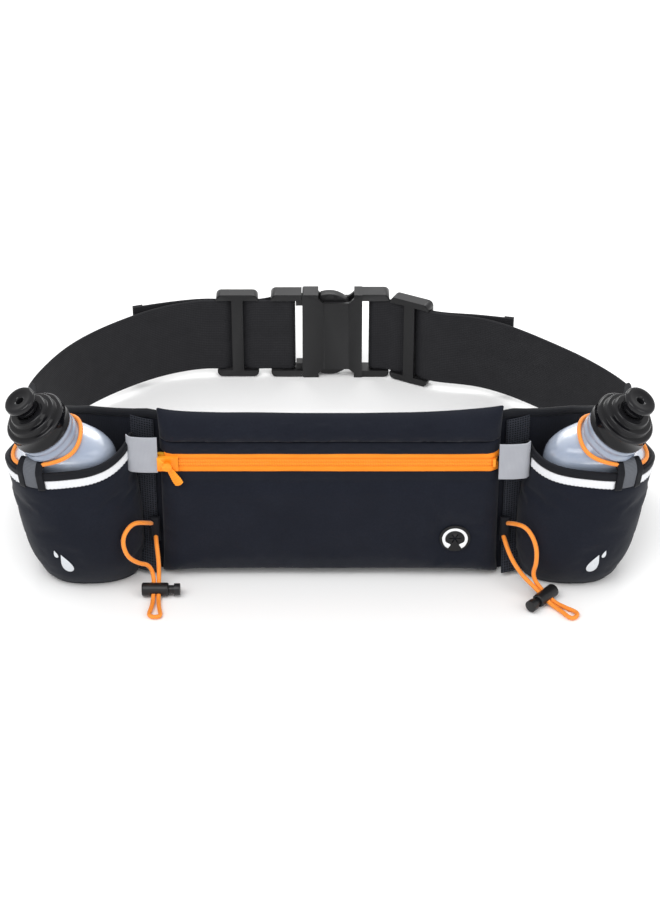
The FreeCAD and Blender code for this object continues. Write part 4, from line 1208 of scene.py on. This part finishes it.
def tape_tab(side, flip):
    """The grey tape between the pouch's end and the pocket's rim, its end by the pocket turned in."""
    left_x = -111.6 + TAB_SHIFT[side][0]
    low_z = 69.0 + TAB_SHIFT[side][1]
    x = left_x + spread(TAB_W, 1.2, 0.5)
    z = low_z + spread(TAB_H, 1.2, 0.5)
    share = (x - left_x) / TAB_W
    bow = np.sin(math.pi * share)
    turn_in = np.clip(1 - share * 6.5, 0, 1) ** 2
    grid = upright_grid(x, (-56.3 - 0.7 * bow + 2.2 * turn_in)[:, None], z)
    grid[..., 2] -= 0.05 * (x - left_x)[:, None]
    edge = np.minimum(np.minimum(share, 1 - share)[:, None] * TAB_W,
                      np.minimum(z - low_z, low_z + TAB_H - z)[None, :])
    piece("tape_tab_" + side, slab(grid, 0.42 * rolled(edge, 0.45)), "grey_tape", "belt", flip,
          ["reflective_tab_" + side])


def cord_anchor(side, flip):
    """The folded black tape that both ends of the bib cord come out of."""
    x, z = spread(ANCHOR_W, 0.9, 0.8), spread(ANCHOR_H, 1.2, 0.9)
    bow = np.sin(math.pi * z / ANCHOR_H)
    grid = upright_grid(ANCHOR_X + x, -49.2 - 0.5 * bow[None, :], ANCHOR_Z + z)
    edge = np.minimum(np.minimum(x, ANCHOR_W - x)[:, None], np.minimum(z, ANCHOR_H - z)[None, :])
    piece("cord_anchor_tab_" + side, slab(grid, 1.9 * rolled(edge, 1.9)), "binding", "belt",
          flip, ["bib_cord_tab_" + side])


def mesh_gusset(side, flip):
    """The open mesh between the pouch's end and the pocket."""
    line, out = belt_line()
    wanted = (line[:, 0] > -108.5) & (line[:, 0] < -93.6)
    plan = line[wanted] + out[wanted] * (BELT_T + 0.75)
    rows = spread(MESH_H, 3.0, 0.5)
    grid = np.zeros((len(plan), len(rows), 3))
    grid[..., :2] = plan[:, None, :]
    grid[..., 2] = 3.0 + rows[None, :]
    grid[..., 1] -= 8.0 * np.clip(1 - rows / 18.0, 0, 1)[None, :] ** 1.3
    grid = push(grid, (ripple(grid, 14.0, 9) * 0.35)[..., None])
    edge = np.minimum(rows, MESH_H - rows)[None, :] + np.zeros((len(plan), 1))
    piece("mesh_gusset_" + side, slab(grid, 0.4 * rolled(edge, 0.5)), "mesh", "belt", flip,
          ["mesh_panel_" + side])


# Bib cords

def bib_cord(side):
    """A loop of elastic cord: one smooth line through the route's own points."""
    curve = bpy.data.curves.new("bib_cord_line_" + side, "CURVE")
    curve.dimensions = "3D"
    curve.bevel_depth = CORD_D / 2 * MM
    curve.bevel_resolution = 4
    curve.resolution_u = 10
    curve.use_fill_caps = True
    line = curve.splines.new("NURBS")
    route = CORDS[side]
    line.points.add(len(route) - 1)
    for point, place in zip(line.points, route):
        point.co = (*at(*place), 1.0)
    line.order_u = 3
    line.use_endpoint_u = True
    curve.materials.append(MATERIALS["elastic_cord"])
    made = add_object("bib_cord_line_" + side, curve)
    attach(made, "belt")
    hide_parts("bib_cord_" + side)


def elastic_material(name, coordinates):
    """Braided elastic: crossing rows of bright thread."""
    colour, light = (0.84, 0.21, 0.008), (1.0, 0.42, 0.05)
    material = plain(name, colour, 0.55, Sheen_Weight=0.3, Sheen_Roughness=0.4)
    nodes = Nodes(material)
    scale = 1 / (0.9 * MM)
    place = nodes.coordinates(coordinates, (scale, scale, scale))
    one = nodes.add("TexWave", {"Vector": place, "Scale": 0.5}, wave_type="BANDS", bands_direction="DIAGONAL")
    two = nodes.add("TexNoise", {"Vector": place, "Scale": 1.2, "Detail": 2.0})
    braid = nodes.math("MULTIPLY", one.outputs["Fac"], two.outputs["Fac"])
    nodes.colour(nodes.mix(braid, (*colour, 1), (*light, 1)))
    nodes.bump(braid, 0.00022, 0.7)
    return material


def mesh_material():
    """Spacer mesh: rows of small round holes in a knitted net. Needs UVs in metres."""
    material = plain("air_mesh", (0.010, 0.011, 0.016), 0.8, Specular_IOR_Level=0.1)
    nodes = Nodes(material)
    scale = 1 / (1.5 * MM)
    place = nodes.coordinates("UV", (scale, scale, 1))
    cells = nodes.add("TexVoronoi", {"Vector": place, "Scale": 1.0, "Randomness": 0.12}).outputs["Distance"]
    hole = nodes.add("MapRange", {"Value": cells, "From Min": 0.22, "From Max": 0.36}).outputs[0]
    nodes.colour(nodes.mix(hole, (0.0018, 0.0020, 0.003, 1), (0.030, 0.033, 0.042, 1)))
    nodes.bump(hole, 0.0004, 0.8)
    return material


def bottle_material():
    """Cloudy squeeze plastic: pale blue, half clear, a little scuffed."""
    material = plain("bottle_cloudy", (0.42, 0.50, 0.64), 0.20, Transmission_Weight=0.35, IOR=1.45,
                     Coat_Weight=0.4, Coat_Roughness=0.08)
    nodes = Nodes(material)
    place = nodes.coordinates("Object", (1, 1, 1))
    cloud = nodes.add("TexNoise", {"Vector": place, "Scale": 60.0, "Detail": 4.0}).outputs["Fac"]
    scuff = nodes.add("TexNoise", {"Vector": place, "Scale": 900.0, "Detail": 3.0}).outputs["Fac"]
    nodes.colour(nodes.mix(cloud, (0.23, 0.29, 0.41, 1), (0.60, 0.66, 0.77, 1)))
    rough = nodes.add("MapRange", {"Value": cloud, "To Min": 0.14, "To Max": 0.34})
    nodes.roughness(rough.outputs[0])
    nodes.bump(scuff, 0.00003, 0.3)
    return material


def reflective_material(name, colour, light):
    """Tape of tiny glass beads in rows, matte from most sides."""
    material = plain(name, colour, 0.5, Sheen_Weight=0.1)
    nodes = Nodes(material)
    scale = 1 / (0.8 * MM)
    place = nodes.coordinates("UV", (scale, scale, 1))
    grain = nodes.add("TexVoronoi", {"Vector": place, "Scale": 1.0, "Randomness": 0.5}).outputs["Distance"]
    whole = nodes.coordinates("Object", (1, 1, 1))
    cloud = nodes.add("TexNoise", {"Vector": whole, "Scale": 120.0, "Detail": 3.0})
    shade = nodes.math("MULTIPLY", grain, cloud.outputs["Fac"])
    nodes.colour(nodes.mix(shade, (*light, 1), (*colour, 1)))
    nodes.bump(grain, 0.00006, 0.5)
    return material


MATERIALS = {
    "pouch": cloth("pouch_cloth", (0.0045, 0.0058, 0.0112), (0.0115, 0.0140, 0.0235), 0.55),
    "pocket": cloth("pocket_cloth", (0.0042, 0.0055, 0.0108), (0.0110, 0.0135, 0.0225), 0.55),
    "belt_inner": cloth("belt_cloth", (0.0040, 0.0050, 0.0090), (0.0105, 0.0122, 0.0190), 1.1, depth=0.15),
    "binding": webbing_cloth("binding_tape", (0.0035, 0.0040, 0.0062), (0.0110, 0.0120, 0.0160), 0.7, 0.6,
                             0.06),
    "webbing": webbing_cloth("webbing", (0.0150, 0.0150, 0.0172), (0.0290, 0.0290, 0.0325), 1.25, 1.1, 0.05),
    "mesh": mesh_material(),
    "zip_tape": webbing_cloth("zip_tape", (0.80, 0.205, 0.010), (0.96, 0.33, 0.030), 0.6, 0.5, 0.05, 0.5),
    "zip_coil": moulded("zip_coil", (0.78, 0.19, 0.008), 0.4, 0.2),
    "elastic": elastic_material("elastic_loop", "UV"),
    "elastic_cord": elastic_material("elastic_cord", "Object"),
    "grey_tape": webbing_cloth("grey_tape", (0.30, 0.31, 0.34), (0.43, 0.44, 0.48), 0.7, 0.7, 0.07, 0.55),
    "dark_tape": webbing_cloth("dark_tape", (0.075, 0.080, 0.092), (0.16, 0.17, 0.19), 0.7, 0.7, 0.07, 0.55),
    "reflective": reflective_material("reflective", (0.56, 0.57, 0.60), (0.72, 0.73, 0.75)),
    "white_thread": cloth("white_thread", (0.60, 0.61, 0.63), (0.75, 0.76, 0.78), 0.3),
    "white_print": plain("white_print", (0.80, 0.81, 0.82), 0.5),
    "print": plain("print_grey", (0.62, 0.65, 0.68), 0.5),
    "plastic": moulded("black_moulded", (0.0090, 0.0090, 0.0098), 0.34, 0.3, 0.26),
    "plastic_smooth": moulded("black_smooth", (0.0080, 0.0080, 0.0090), 0.30, 0.12, 0.3),
    "gloss": moulded("black_gloss", (0.0030, 0.0030, 0.0040), 0.13, 0.03, 0.24),
    "rubber": moulded("rubber", (0.0065, 0.0065, 0.0070), 0.55, 0.4),
    "enamel": moulded("orange_enamel", (0.90, 0.24, 0.010), 0.32, 0.1),
    "bottle": bottle_material(),
    "steel": plain("spring_steel", (0.55, 0.55, 0.57), 0.3, Metallic=1.0),
    "liner": cloth("liner", (0.7, 0.7, 0.7), (0.78, 0.78, 0.78), 0.4),
}

camera()
hardware()
for side in SIDES:
    bib_cord(side)
studio()
belt()
straps()
pouch()
zip_parts()
zip_pull()
port_ring()
for side in SIDES:
    flip = side == "right"
    pocket = pocket_side(side)
    cord_tab(side, pocket, flip)
    drop_print(side, pocket, flip)
    skin = bottle(side, flip)
    cap(side, flip)
    bottle_loop(side, flip, skin)
    tape_tab(side, flip)
    cord_anchor(side, flip)
    mesh_gusset(side, flip)
for node, material in (("pouch_back_panel", "pouch"), ("cap_liner_left", "liner"),
                       ("cap_liner_right", "liner"), ("toggle_spring_left", "steel"),
                       ("toggle_spring_right", "steel")):
    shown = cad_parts[node]
    shown.data.materials.clear()
    shown.data.materials.append(MATERIALS[material])
